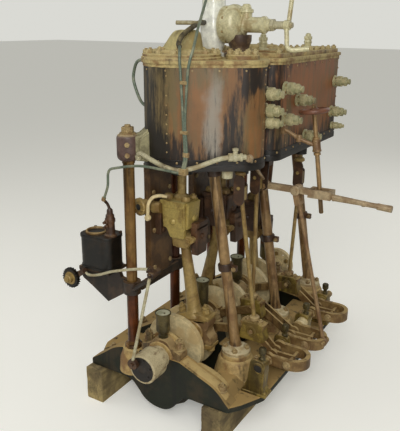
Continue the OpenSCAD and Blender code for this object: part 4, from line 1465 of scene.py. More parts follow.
@dataclass
class Bed(SubAssembly):
    """Cast bed with its bearing girders, side flanges and column pads."""

    front: float = -12.0
    rear: float = 1090.0

    def build(self) -> None:
        """Builds the bed."""
        piece = Workpiece()
        self.girders(piece)
        self.sides(piece)
        self.pads()
        self.place(piece, "bed_casting", "bed_paint", "bedplate", whole=True)
        self.fasteners()

    def girders(self, piece: Workpiece) -> None:
        """Front girder, cross girders, rear end and the troughs between them.

        Args:
            piece: Piece that takes them.
        """
        belly = curve(((-192, 157), (-150, 150), (-118, 122), (-84, 84), (-40, 64), (14, 62),
            (52, 80), (84, 116), (112, 148), (150, 158)), 5)
        top = curve(((326, 178), (308, 196), (284, 222), (256, 246), (224, 262), (186, 276),
            (146, 292), (94, 312)), 5)
        left = curve(((-96, 311), (-112, 304), (-186, 296), (-240, 276), (-300, 232), (-366, 186)),
            5)
        outline = belly + [(180, 157), (316, 157)] + top + left + [(-366, 158)]
        piece.plate(outline, self.front, 56, bevel=9)
        cross = [(-366, 157)] + belly + [(180, 157), (310, 157), (310, 200), (250, 238), (110, 255),
            (98, 300), (94, 311), (-96, 311), (-112, 304), (-186, 296), (-240, 262), (-366, 186)]
        for y in BEARINGS[1:]:
            piece.plate(cross, y - 35, y + 35, bevel=5)
        piece.plate([(-300, 157), (-192, 157), (-84, 84), (-40, 64), (40, 64), (112, 148),
            (150, 157), (300, 157), (300, 225), (60, 240), (-60, 240), (-300, 225)], self.rear - 30,
            self.rear, bevel=5)
        trough = [(-193, 157), (-134, 138), (-87, 88), (-40, 64), (40, 64), (86, 92), (130, 142),
            (150, 157), (190, 157), (190, 175), (178, 176), (134, 167), (114, 148), (74, 100),
            (34, 76), (-36, 76), (-80, 102), (-120, 150), (-180, 176), (-193, 175)]
        piece.plate(trough, 40, self.rear - 12, bevel=0)

    def sides(self, piece: Workpiece) -> None:
        """Sloping side rails and the broad flanges outside them.

        Args:
            piece: Piece that takes them.
        """
        for side, inner in ((-1, 215), (1, 186)):
            rail = [(side * inner, 158), (side * 306, 158), (side * 306, 180), (side * 288, 196),
                (side * 268, 218), (side * 256, 224), (side * inner, 225)]
            piece.plate(rail, self.front + 30, self.rear - 2, bevel=5)
            flange = [(side * 290, self.front + 2), (side * 320, self.front),
                (side * 352, self.front + 44), (side * 392, self.front + 122),
                (side * 404, self.front + 150), (side * 404, self.rear - 66),
                (side * 396, self.rear - 44), (side * 330, self.rear), (side * 290, self.rear)]
            piece.plate(flange, 157, 183, Axis.Z, bevel=7)

    def pads(self) -> None:
        """Round pads under the columns, and the boss around the front bearing."""
        tan = Workpiece()
        for y in LEFT_FEET:
            tan.turned((LEFT_X, y, 200), Axis.Z, ((0, 0), (62, 0), (58, 60), (49, 84), (46, 92),
                (46, 104), (42, 108), (0, 108)), 44)
        for y in RIGHT_FEET:
            tan.turned((RIGHT_X, y, 157), Axis.Z, ((0, 0), (98, 0), (92, 34), (83, 66), (78, 86),
                (75, 100), (70, 109), (64, 113), (64, 126), (61, 131), (0, 131)), 52)
        tan.turned((0, 52, CRANK_Z), FRONT, ((0, 0), (84, 0), (86, 2), (86, 10), (83, 13), (74, 14),
            (68, 20), (66, 50), (64, 58), (60, 62), (0, 62)), 52)
        for angle in (38, 142, -30):
            u, v = polar(angle, 76)
            tan.nut((u, 38, CRANK_Z + v), FRONT, 15, 8, angle)
        crest = [(98, 314), (146, 295), (186, 279), (224, 265), (256, 249), (284, 225), (304, 203)]
        tan.plate(crest + [(296, 190), (200, 200), (98, 240)], -2, 44, bevel=9)
        crest = [(128, 280), (186, 268), (224, 254), (250, 238), (278, 212)]
        tan.plate(crest + [(270, 190), (200, 200), (128, 230)], 36, 92, bevel=14)
        self.place(tan, "bed_pads", "bed_tan", "bedplate")

    def fasteners(self) -> None:
        """Nuts on the flanges."""
        piece = Workpiece()
        for side in (-1, 1):
            for index, y in enumerate((96, 372, 700, 1010)):
                if side > 0 and index == 0:
                    continue
                x = side * (330 if index == 0 else 368)
                piece.turned((x, y, 182), Axis.Z, washer(24))
                piece.nut((x, y, 186), UP, 34, 19, 17 * index, stud=12)
        piece.turned((274, 22, 228), Axis.Z, washer(21))
        piece.nut((274, 22, 232), UP, 31, 19, 8, stud=10)
        self.place(piece, "bed_nuts", "fastener", "bedplate")


@dataclass
class MainBearings(SubAssembly):
    """Bearing caps, their studs and the oil cups on them."""

    half_width: float = 30.0
    stud_x: float = 75.0
    cup_top: float = 525.0
    front_cup_top: float = 494.0

    def build(self) -> None:
        """Builds caps, studs and cups."""
        caps, studs, cups, lids = Workpiece(), Workpiece(), Workpiece(), Workpiece()
        for index, y in enumerate(BEARINGS):
            bow = curve(both_sides([(94, 14), (92, 30), (76, 38), (56, 44), (40, 60), (22, 72)]), 3)
            arch = [polar(degrees, 35) for degrees in (11.25 * i for i in range(17))]
            outline = [(u, CRANK_Z + v) for u, v in [(94, 1), *bow, (-94, 1),
                *((-u, v + 1) for u, v in arch)]]
            caps.plate(outline, y - self.half_width, y + self.half_width, bevel=4)
            for x in (-self.stud_x, self.stud_x):
                studs.turned((x, y, CRANK_Z + 37), Axis.Z, ((0, 0), (23, 0), (23, 4), (20, 6),
                    (0, 6)))
                studs.nut((x, y, CRANK_Z + 42), UP, 33, 22, 12 + 20 * index, stud=6)
                studs.nut((x, y, CRANK_Z + 66), UP, 30, 12, 40, stud=10)
            x, top = (-4.0, self.front_cup_top) if index == 0 else (0.0, self.cup_top)
            self.cup(cups, lids, x, y, top)
        self.place(caps, "bearing_cap_castings", "cap_iron", "bearing_caps", whole=True)
        self.place(studs, "bearing_studs", "fastener", "bearing_caps")
        self.place(cups, "oil_cup_bodies", "cup_bronze", "oil_cups", whole=True)
        self.place(lids, "oil_cup_lids", "cup_lid", "oil_cups")

    def cup(self, cups: Workpiece, lids: Workpiece, x: float, y: float, top: float) -> None:
        """One oil cup with its sunken lid.

        Args:
            cups: Piece that takes the body.
            lids: Piece that takes the lid.
            x: Its place across.
            y: Its place along the shaft.
            top: Height of its rim.
        """
        base = CRANK_Z + 72
        h = top - base
        cups.turned((x, y, base), Axis.Z, ((0, -2), (20, -2), (20, 5), (14, 8), (14, 20), (24, 26),
            (28, 32), (28, h - 10), (32, h - 8), (33, h - 2), (32, h), (30, h), (29, h - 4),
            (0, h - 4)), 40)
        lids.turned((x, y, top - 4), Axis.Z, ((0, 0), (28.5, 0), (28.5, 1.5), (24, 2.6), (0, 3.0)),
            40)
        cups.turned((x + 10, y - 4, top - 2), Axis.Z, ((0, 0), (4, 0), (4, 3), (0, 4)), 12)


@dataclass
class Crank(SubAssembly):
    """Crankshaft, the drum at its front end, and the connecting rods."""

    throw: float = 100.0
    turn: float = 44.0
    rod_length: float = 470.0

    def pin(self, index: int) -> Vector:
        """Middle of a crank pin.

        Args:
            index: Its cylinder.

        Returns:
            The pin's place.
        """
        angle = math.radians(self.turn + 120 * index)
        return Vector((self.throw * math.cos(angle), CYLINDERS[index],
            CRANK_Z + self.throw * math.sin(angle)))

    def gudgeon(self, index: int) -> Vector:
        """Middle of a crosshead's pin.

        Args:
            index: Its cylinder.

        Returns:
            The pin's place.
        """
        pin = self.pin(index)
        return Vector((0.0, pin.y, pin.z + math.sqrt(self.rod_length**2 - pin.x**2)))

    def build(self) -> None:
        """Builds the rods and the drum, and softens the shaft."""
        soften("crankshaft", self.palette["crank_steel"], 4.0)
        for index in range(3):
            self.rod(index)
        self.drum()
        details = Workpiece()
        for y in CYLINDERS:
            details.turned((0, y - 62, CRANK_Z), FRONT, ((0, -1), (52, -1), (50, 3), (40, 4),
                (0, 4)), 40)
        for angle in range(0, 360, 60):
            u, v = polar(angle + 30, 68)
            details.nut((u, 1128, CRANK_Z + v), FRONT, 22, 10, angle)
        self.place(details, "crank_hubs", "rod_steel", "crankshaft")

    def rod(self, index: int) -> None:
        """One connecting rod with its split big end.

        Args:
            index: Its cylinder.
        """
        low, high = self.pin(index), self.gudgeon(index)
        lean = Matrix.Translation(low) @ Workpiece.stand(high - low)
        steel, brass = Workpiece(), Workpiece()

        def put(piece: Workpiece, make: Workpiece) -> None:
            """Leans a shape with the rod and adds it to a piece.

            Args:
                piece: Piece that takes it.
                make: The shape.
            """
            piece.join(make.mesh, lean)

        shank = Workpiece().turned((0, 0, 60), Axis.Z, ((0, 0), (44, 0), (42, 12), (34, 26),
            (29, 50), (26, 120), (21, 270), (19, 332), (24, 348), (32, 356), (32, 362), (0, 362)),
            36)
        put(steel, shank)
        palm = Workpiece().plate(both_sides([(84, 52), (86, 60), (80, 70), (40, 78), (30, 84)]),
            -33, 33, bevel=5)
        put(steel, palm)
        cap = Workpiece().plate(both_sides([(84, -56), (78, -72), (36, -80)]), -32, 32, bevel=5)
        put(steel, cap)
        side = curve(((80, -54), (80, -30), (66, -8), (66, 8), (80, 30), (80, 50)), 3)
        outline = both_sides(side)
        put(brass, Workpiece().plate(outline, -30, 30, bevel=4))
        put(steel, Workpiece().turned((0, -37, 0), Axis.Y, ((0, 0), (46, 0), (49, 3), (49, 71),
            (46, 74), (0, 74)), 40))
        put(steel, Workpiece().plate(both_sides([(28, 56), (62, 40), (70, 52)]), -34, 34, bevel=3))
        for x in (-58, 58):
            bolt = Workpiece().nut((x, 0, 72), UP, 30, 20, 20)
            bolt.nut((x, 0, 93), UP, 27, 11, 45, stud=9)
            bolt.nut((x, 0, -74), -UP, 32, 17, 5)
            put(steel, bolt)
        self.place(steel, f"rod_{index + 1}_steel", "rod_steel", f"con_rod_{index + 1}", whole=True)
        self.place(brass, f"rod_{index + 1}_brasses", "cap_iron", f"con_rod_{index + 1}")

    def drum(self) -> None:
        """Speckled drum at the shaft's front end with its dark oily face."""
        barrel, face = Workpiece(), Workpiece()
        barrel.turned((0, -12, CRANK_Z), FRONT, ((0, 0), (47, 0), (47, 26), (54, 29), (60, 33),
            (62, 40), (61, 116), (58, 119), (52, 119), (0, 118)), 56)
        face.turned((0, -130.5, CRANK_Z), FRONT, ((0, 0), (53, 0), (52, 1.2), (20, 2.0), (17, 0.6),
            (0, 0.6)), 48)
        self.place(barrel, "drum_barrel", "drum_paint", "end_drum", whole=True)
        for angle, radius in ((20, 40), (80, 44), (150, 42), (320, 38)):
            u, v = polar(angle, radius)
            face.turned((u, -131, CRANK_Z + v), FRONT, ((0, 0), (6, 0), (5, 3), (0, 4)), 14)
        face.turned((-36, -131, 331), FRONT, ((0, 0), (13, 0), (12, 4), (8, 5), (8, 15), (6, 16),
            (0, 16)), 20)
        self.place(face, "drum_oily_face", "drum_face", "end_drum")


@dataclass
class Crossheads(SubAssembly):
    """Piston rods, brass crossheads, slippers and guide plates."""

    crank: Crank
    rod_top: float = 1140.0
    guide_foot: float = 606.0
    guide_half_width: float = 75.0

    def build(self) -> None:
        """Builds the three crossheads and the guides."""
        for index in range(3):
            self.crosshead(index)
        self.guides()
        self.side_drive()

    def crosshead(self, index: int) -> None:
        """One crosshead: tapered brass block, nuts, piston rod and slipper.

        Args:
            index: Its cylinder.
        """
        middle = self.crank.gudgeon(index)
        y, z = middle.y, middle.z
        reach = self.rod_top - z - 92
        brass, steel, dark = Workpiece(), Workpiece(), Workpiece()
        self.tapered(brass, (2, y, z + 33), (58, 44), (50, 43), 55, 6)
        panel = [(-62, z + 72), (-58, z + 76), (42, z + 76), (46, z + 72), (46, z - 18),
            (43, z - 24), (42, z - 56), (38, z - 60), (-20, z - 60), (-25, z - 55), (-37, z - 28),
            (-42, z - 22), (-56, z - 20)]
        brass.plate(panel, y - 54, y - 36, bevel=5)
        brass.block((-70, y - 58, z + 74), (46, y + 50, z + 92), 5)
        brass.plate([(-54, z + 62), (38, z + 64), (38, z - 12), (-50, z - 14)], y - 57, y - 50,
            bevel=2)
        brass.turned((-8, y - 56, z + 8), FRONT, ((0, 0), (15, 0), (14, 4), (8, 8), (6, 9), (0, 9)),
            28)
        brass.turned((52, y + 4, z + 18), RIGHT, ((0, 0), (14, 0), (13, 6), (8, 9), (0, 10)), 24)
        brass.turned((0, y + 38, z + 12), Axis.Y, ((0, 0), (25, 0), (24, 5), (17, 8), (14, 6),
            (0, 5)), 30)
        for side in (-1, 1):
            steel.turned((-10 + side * 40, y - 20, z + 92), Axis.Z,
                ((0, 0), (19, 0), (19, 12), (16, 17), (8, 20), (0, 20)), 28)
            steel.nut((side * 34, y + 30, z + 92), UP, 27, 13, 14, stud=6)
        steel.turned((0, y, z + 92), Axis.Z, ((0, 0), (31, 0), (31, 10), (25, 16), (18, 20),
            (18, reach), (0, reach)), 36)
        steel.plate([(-32, z - 20), (-36, z - 40), (-30, z - 70), (-24, z - 104), (26, z - 104),
            (30, z - 84), (46, z - 78), (54, z - 62), (48, z - 52), (34, z - 48), (32, z - 20)],
            y - 34, y + 32, bevel=5)
        steel.plate([(-28, z - 48), (-30, z - 60), (-18, z - 80), (-6, z - 104), (44, z - 104),
            (58, z - 84), (78, z - 68), (80, z - 54), (66, z - 48), (40, z - 52), (10, z - 44)],
            y - 40, y - 18, bevel=5)
        steel.nut((52, y - 40, z - 68), FRONT, 20, 8, 12, stud=4)
        dark.block((42, y - 14, z - 30), (78, y + 72, z + 2), 4)
        self.tapered(dark, (63, y + 30, z - 76), (15, 46), (15, 36), 60, 4)
        dark.block((-100, y - 50, z - 62), (-68, y + 50, z + 62), 4)
        for dz in (-44, 44):
            for dy in (-34, 34):
                dark.nut((-68, y + dy, z + dz), RIGHT, 16, 8, dz)
        dark.nut((75, y + 30, z - 60), RIGHT, 20, 9, 10, stud=3)
        name = f"crosshead_{index + 1}"
        self.place(brass, f"{name}_brass", "crosshead_brass" if index == 0 else "dark_iron", name,
            whole=True)
        self.place(steel, f"{name}_rod", "rod_steel", name)
        self.place(dark, f"{name}_slipper", "dark_iron", name)

    def tapered(self, piece: Workpiece, middle: Point, top: Corner, foot: Corner, half: float,
            bevel: float) -> None:
        """Adds a block that narrows downwards.

        Args:
            piece: Piece that takes it.
            middle: Its middle.
            top: Half its width and depth at the top.
            foot: The same at the foot.
            half: Half its height.
            bevel: Width of the rounding.
        """
        part = bmesh.new()
        bmesh.ops.create_cube(part, size=2.0)
        for level, (wide, deep) in ((1, top), (-1, foot)):
            corners = [v for v in part.verts if v.co.z * level > 0]
            bmesh.ops.scale(part, vec=(wide, deep, half), verts=corners)
        piece.join(part, Matrix.Translation(middle), bevel)

    def guides(self) -> None:
        """Guide plates behind the slippers, with their ribs and screws."""
        piece, screws = Workpiece(), Workpiece()
        foot, half = self.guide_foot, self.guide_half_width
        for y in CYLINDERS:
            piece.block((-118, y - half, foot), (-100, y + half, DECK_Z), 3)
            piece.block((-132, y - half, DECK_Z - 40), (-116, y + half, DECK_Z), 3)
            for edge in (-half, half - 8):
                piece.block((-131, y + edge, foot + 6), (-116, y + edge + 8, DECK_Z - 36), 2.5)
            for dz in (640, 800, 960):
                for dy in (-56, 56):
                    screws.nut((-100, y + dy, dz), RIGHT, 18, 6, dz)
        self.place(piece, "guide_castings", "guide_iron", "guide_plates", whole=True)
        self.place(screws, "guide_screws", "fastener", "guide_plates")

    def side_drive(self) -> None:
        """Small cylinder and its strap beside the front crosshead, with a dark disc of painted
        shade in the cylinder's bore.
        """
        piece, strap, hole = Workpiece(), Workpiece(), Workpiece()
        z = self.crank.gudgeon(0).z + 62
        way = Vector((-0.25, -0.97, 0.0)).normalized()
        piece.turned((-118, 108, z), way, ((0, 0), (27, 0), (27, 44), (34, 46), (36, 49), (36, 60),
            (33, 63), (0, 63)), 40)
        # Dark disc at the cylinder's end: painted shade where its bore is
        hole.turned(Vector((-118, 108, z)) + way * 62.6, way, disc(13, 1), 24)
        piece.turned((-96, 96, z - 6), Vector((1, 0.15, 0.1)), disc(24, 36), 30)
        for angle in range(0, 360, 60):
            u, v = polar(angle + 15, 24)
            seat = Vector((-118, 108, z)) + way * 62.5 + way.cross(UP).normalized() * u + UP * v
            piece.nut(seat, way, 10, 6, angle)
        strap.tube([(-92, 50, z - 34), (-88, 48, z - 8), (-86, 50, z + 22), (-72, 60, z + 46),
            (-52, 78, z + 52), (-34, 100, z + 46)], 7)
        strap.turned((-92, 44, z - 38), Axis.Y, boss(12, 14), 22)
        self.place(hole, "side_hole_painted_shade", "painted_hole_shade", "crosshead_1")
        self.place(piece, "side_cylinder", "rod_steel", "crosshead_1")
        self.place(strap, "side_strap", "crank_steel", "crosshead_1")


@dataclass
class Columns(SubAssembly):
    """Turned columns with their feet, collars and nuts."""

    left_foot_z: float = 308.0
    front_top: float = 1115.0
    right_foot_z: float = 290.0
    right_head_x: float = 98.0

    def build(self) -> None:
        """Builds left and right columns, and the casting on the first one."""
        self.left()
        self.right()
        self.head()

    def left(self) -> None:
        """Upright columns on the left."""
        for index, y in enumerate(LEFT_FEET):
            reach = (self.front_top if index == 0 else DECK_Z) - self.left_foot_z
            column = Workpiece()
            column.turned((LEFT_X, y, self.left_foot_z), Axis.Z, ((0, 0), (37, 0), (37, 9),
                (34, 13), (27, 15), (25, 24), (22, 30), (22, reach - 26), (25, reach - 22),
                (25, reach), (0, reach)), 36)
            finish = "column_tan" if index == 0 else "column_dark"
            self.place(column, f"column_left_{index + 1}", finish, "columns_left", whole=index == 0)
        collar = Workpiece()
        collar.turned((LEFT_X, 8, 330), Axis.Z, ((22.2, 0), (23.2, 2), (23.2, 222), (22.2, 222)),
            36)
        self.place(collar, "column_oily_sleeve", "column_dark", "columns_left")
        nuts = Workpiece()
        for y in LEFT_FEET[1:]:
            nuts.nut((LEFT_X, y, 1068), UP, 54, 12, 10)
        self.place(nuts, "column_left_nuts", "dark_iron", "columns_left")

    def right(self) -> None:
        """Leaning columns on the right, with their round feet."""
        dark, nuts, foot_disc = Workpiece(), Workpiece(), Workpiece()
        for index, y in enumerate(RIGHT_FEET):
            foot = Vector((RIGHT_X, y, self.right_foot_z))
            head = Vector((self.right_head_x, y, DECK_Z))
            way = (head - foot).normalized()
            length = (head - foot).length
            column = Workpiece()
            foot_disc.turned((RIGHT_X, y, 287), Axis.Z, ((0, 0), (60, 0), (61, 3), (60, 13),
                (56, 17), (42, 18), (36, 22), (32, 32), (0, 34)), 44)
            column.turned(foot + way * 14, way, ((0, 0), (30, 0), (27, 16), (22.5, 34),
                (22, length - 60), (0, length - 60)), 36)
            self.place(column, f"column_right_{index + 1}", "column_pink", "columns_right",
                whole=index == 0)
            dark.turned(foot + way * (length - 52), way, ((0, 0), (26, 0), (29, 6), (29, 34),
                (36, 38), (36, 47), (0, 47)), 36)
            middle = foot + way * 372
            dark.turned(middle - way * 15, way, ((0, 0), (29, 0), (31, 4), (31, 26), (29, 30),
                (0, 30)), 36)
            dark.block(middle + Vector((24, -9, -13)), middle + Vector((52, 9, 13)), 3)
            nuts.nut(middle + Vector((42, -9, 0)), FRONT, 18, 8, stud=4)
            for angle in (20, 110, 200, 290):
                u, v = polar(angle, 46)
                nuts.nut((RIGHT_X + u, y + v, 303), UP, 21, 13, angle, stud=6)
        self.place(dark, "column_right_collars", "dark_iron", "columns_right")
        self.place(foot_disc, "column_right_feet", "foot_pale", "columns_right")
        self.place(nuts, "column_right_nuts", "fastener", "columns_right")

    def head(self) -> None:
        """Casting that ties the first column's top to the cylinder."""
        piece = Workpiece()
        piece.turned((LEFT_X, 8, 1104), Axis.Z, ((0, 0), (34, 0), (41, 8), (43, 20), (43, 84),
            (40, 94), (33, 99), (0, 100)), 40)
        turn = Matrix.Rotation(math.radians(46), 4, "Z")
        web = Workpiece()
        arm = Workpiece().plate([(20, 1106), (60, 1100), (98, 1092), (100, 1266), (86, 1254),
            (68, 1220), (48, 1203), (20, 1198)], -38, 38, bevel=14)
        rib = Workpiece().plate([(34, 1122), (96, 1104), (98, 1240), (66, 1206), (36, 1188)], -44,
            -30, bevel=5)
        for shape in (arm, rib):
            web.join(shape.mesh, Matrix.Translation((LEFT_X, 8, 0)) @ turn)
        self.place(web, "column_head_web", "head_web", "column_head")
        self.place(piece, "column_head_casting", "head_casting", "column_head", whole=True)
        nut = Workpiece()
        nut.turned((LEFT_X, 8, 1203), Axis.Z, ((0, 0), (31, 0), (31, 4), (28, 6), (0, 6)), 36)
        nut.nut((LEFT_X, 8, 1208), UP, 44, 22, 25, stud=8)
        for dz in (20, 60):
            nut.nut((-118, -32, 1110 + dz), Vector((0.55, -0.83, 0)), 18, 8, dz)
        self.place(nut, "column_head_nuts", "fastener", "column_head")


@dataclass
class Cylinders(SubAssembly):
    """Casing, top plate, covers with their nuts, and the dome."""

    head: float = 1462.0
    near_cover: Corner = (200.0, 258.0)
    dome_middle: Corner = (4.0, 150.0)

    def build(self) -> None:
        """Dresses the casing and builds what stands on it."""
        dress("casing_front", self.palette["casing_paint_front_and_highlight"])
        dress("casing_rear", self.palette["casing_paint_rear"])
        dress("cylinder_block", self.palette["soot_iron"])
        self.bands()
        self.covers()
        self.dome()

    def bands(self) -> None:
        """Bottom band, top rim, seam strips and their screws."""
        band, rim, screws = Workpiece(), Workpiece(), Workpiece()
        for outline in (near_outline, far_outline):
            band.plate(outline(2.6), DECK_Z + 22, DECK_Z + 42, Axis.Z, bevel=1.2)
            band.plate(outline(4.5), DECK_Z - 2, DECK_Z + 23, Axis.Z, bevel=3)
            rim.plate(outline(7.5), self.head - 1, self.head + 13, Axis.Z, bevel=3)
            rim.plate(outline(2.2), self.head - 12, self.head, Axis.Z, bevel=1)
            for place, out in along(outline(2.6), 74):
                screws.turned(place + Vector((0, 0, DECK_Z + 32)), out,
                    ((0, 0), (4.6, 0), (4.0, 2.2), (2, 3.2), (0, 3.4)), 10)
            for place, out in along(outline(0.2), 96):
                screws.turned(place + Vector((0, 0, self.head - 22)), out,
                    ((0, 0), (3.8, 0), (3.2, 2.0), (0, 2.8)), 10)
        for place, out in ((Vector((24.7, 18.2, 0)), Vector((0.17, -0.98, 0))),
                (Vector((293.2, 262, 0)), Vector((1, 0.1, 0)))):
            for z in range(1150, 1450, 34):
                screws.turned(place + out * 0.4 + Vector((0, 0, z)), out,
                    ((0, 0), (3.4, 0), (2.8, 1.6), (0, 2.2)), 10)
        for z in range(1140, 1450, 44):
            for x, out, ys in ((295.2, RIGHT, (470, 1052)), (-142.2, -RIGHT, (520, 760, 1000))):
                for y in ys:
                    screws.turned((x, y, z), out, ((0, 0), (4, 0), (3.2, 2), (0, 2.6)), 10)
        rim.plate([(60, 320), (180, 320), (180, 392), (60, 392)], self.head - 1, self.head + 12,
            Axis.Z, bevel=2)
        self.place(band, "casing_bottom_band", "soot_iron", "cylinder_block")
        self.place(rim, "casing_top_rim", "top_dust", "top_plate", whole=True)
        self.place(screws, "casing_screws", "fastener", "casing_front")

    def covers(self) -> None:
        """Round and square covers with rings of nuts."""
        base = self.head + 12
        covers, nuts = Workpiece(), Workpiece()
        for index, radius in enumerate((150.0, 92.0, 125.0)):
            y = CYLINDERS[index]
            covers.turned((0, y, base), Axis.Z, ((0, 0), (radius, 0), (radius, 6), (radius - 2, 9),
                (radius - 5, 10), (radius - 4, 18), (radius - 8, 21), (radius - 36, 22),
                (radius - 40, 30), (radius - 46, 34), (0, 34)), 72)
            count = 14 if index == 0 else 10
            for step, u, v in around(count, radius - 19, 0.3):
                nuts.nut((u, y + v, base + 20), UP, 22, 12, step * 23, stud=5)
        covers.turned((*self.near_cover, base), Axis.Z, ((0, 0), (62, 0), (62, 14), (58, 18),
            (34, 19), (30, 26), (0, 27)), 48)
        for step, u, v in around(8, 49):
            nuts.nut((self.near_cover[0] + u, self.near_cover[1] + v, base + 18), UP, 21, 13,
                step * 31, stud=6)
        for y0, y1 in ((398.0, 640.0), (656.0, 1060.0)):
            covers.plate([(138, y0), (282, y0), (288, y0 + 6), (288, y1 - 6), (282, y1), (138, y1),
                (132, y1 - 6), (132, y0 + 6)], base, base + 18, Axis.Z, bevel=3)
            covers.plate([(166, y0 + 34), (254, y0 + 34), (254, y1 - 34), (166, y1 - 34)],
                base + 16, base + 27, Axis.Z, bevel=5)
            steps = 4 if y0 < 500 else 6
            for step in range(steps):
                y = y0 + 20 + (y1 - y0 - 40) * step / (steps - 1)
                for x in (149, 271):
                    nuts.nut((x, y, base + 18), UP, 21, 12, step * 19, stud=5)
        self.place(covers, "cover_plates", "cover_iron", "cylinder_covers", whole=True)
        self.place(nuts, "cover_nuts", "dusty_nut", "cylinder_covers")

    def dome(self) -> None:
        """Pale casting on the front cover."""
        x, y = self.dome_middle
        piece = Workpiece()
        shape = Workpiece().turned((0, 0, 0), Axis.Z, ((0, 0), (88, 0), (88, 10), (84, 13),
            (78, 16), (72, 24), (56, 62), (50, 72), (42, 79), (26, 82), (0, 82)), 56)
        bmesh.ops.transform(shape.mesh, matrix=Matrix(((1, 0, 0.30, 0), (0, 1, 0, 0), (0, 0, 1, 0),
            (0, 0, 0, 1))), verts=shape.mesh.verts[:])
        piece.join(shape.mesh, Matrix.Translation((x, y, self.head + 32)))
        for side in (-1, 1):
            piece.plate([(x + side * 84, 1500), (x + side * 60, 1500), (x + 22 + side * 42, 1566),
                (x + 22 + side * 50, 1560)], y - 6, y + 6, bevel=3)
        self.place(piece, "dome_casting", "dome_pale", "cover_dome", whole=True)
        bolts = Workpiece()
        for step, u, v in around(8, 82, 0.5):
            bolts.nut((x + u, y + v, self.head + 42), UP, 17, 9, step * 13, stud=4)
        self.place(bolts, "dome_nuts", "dusty_nut", "cover_dome")


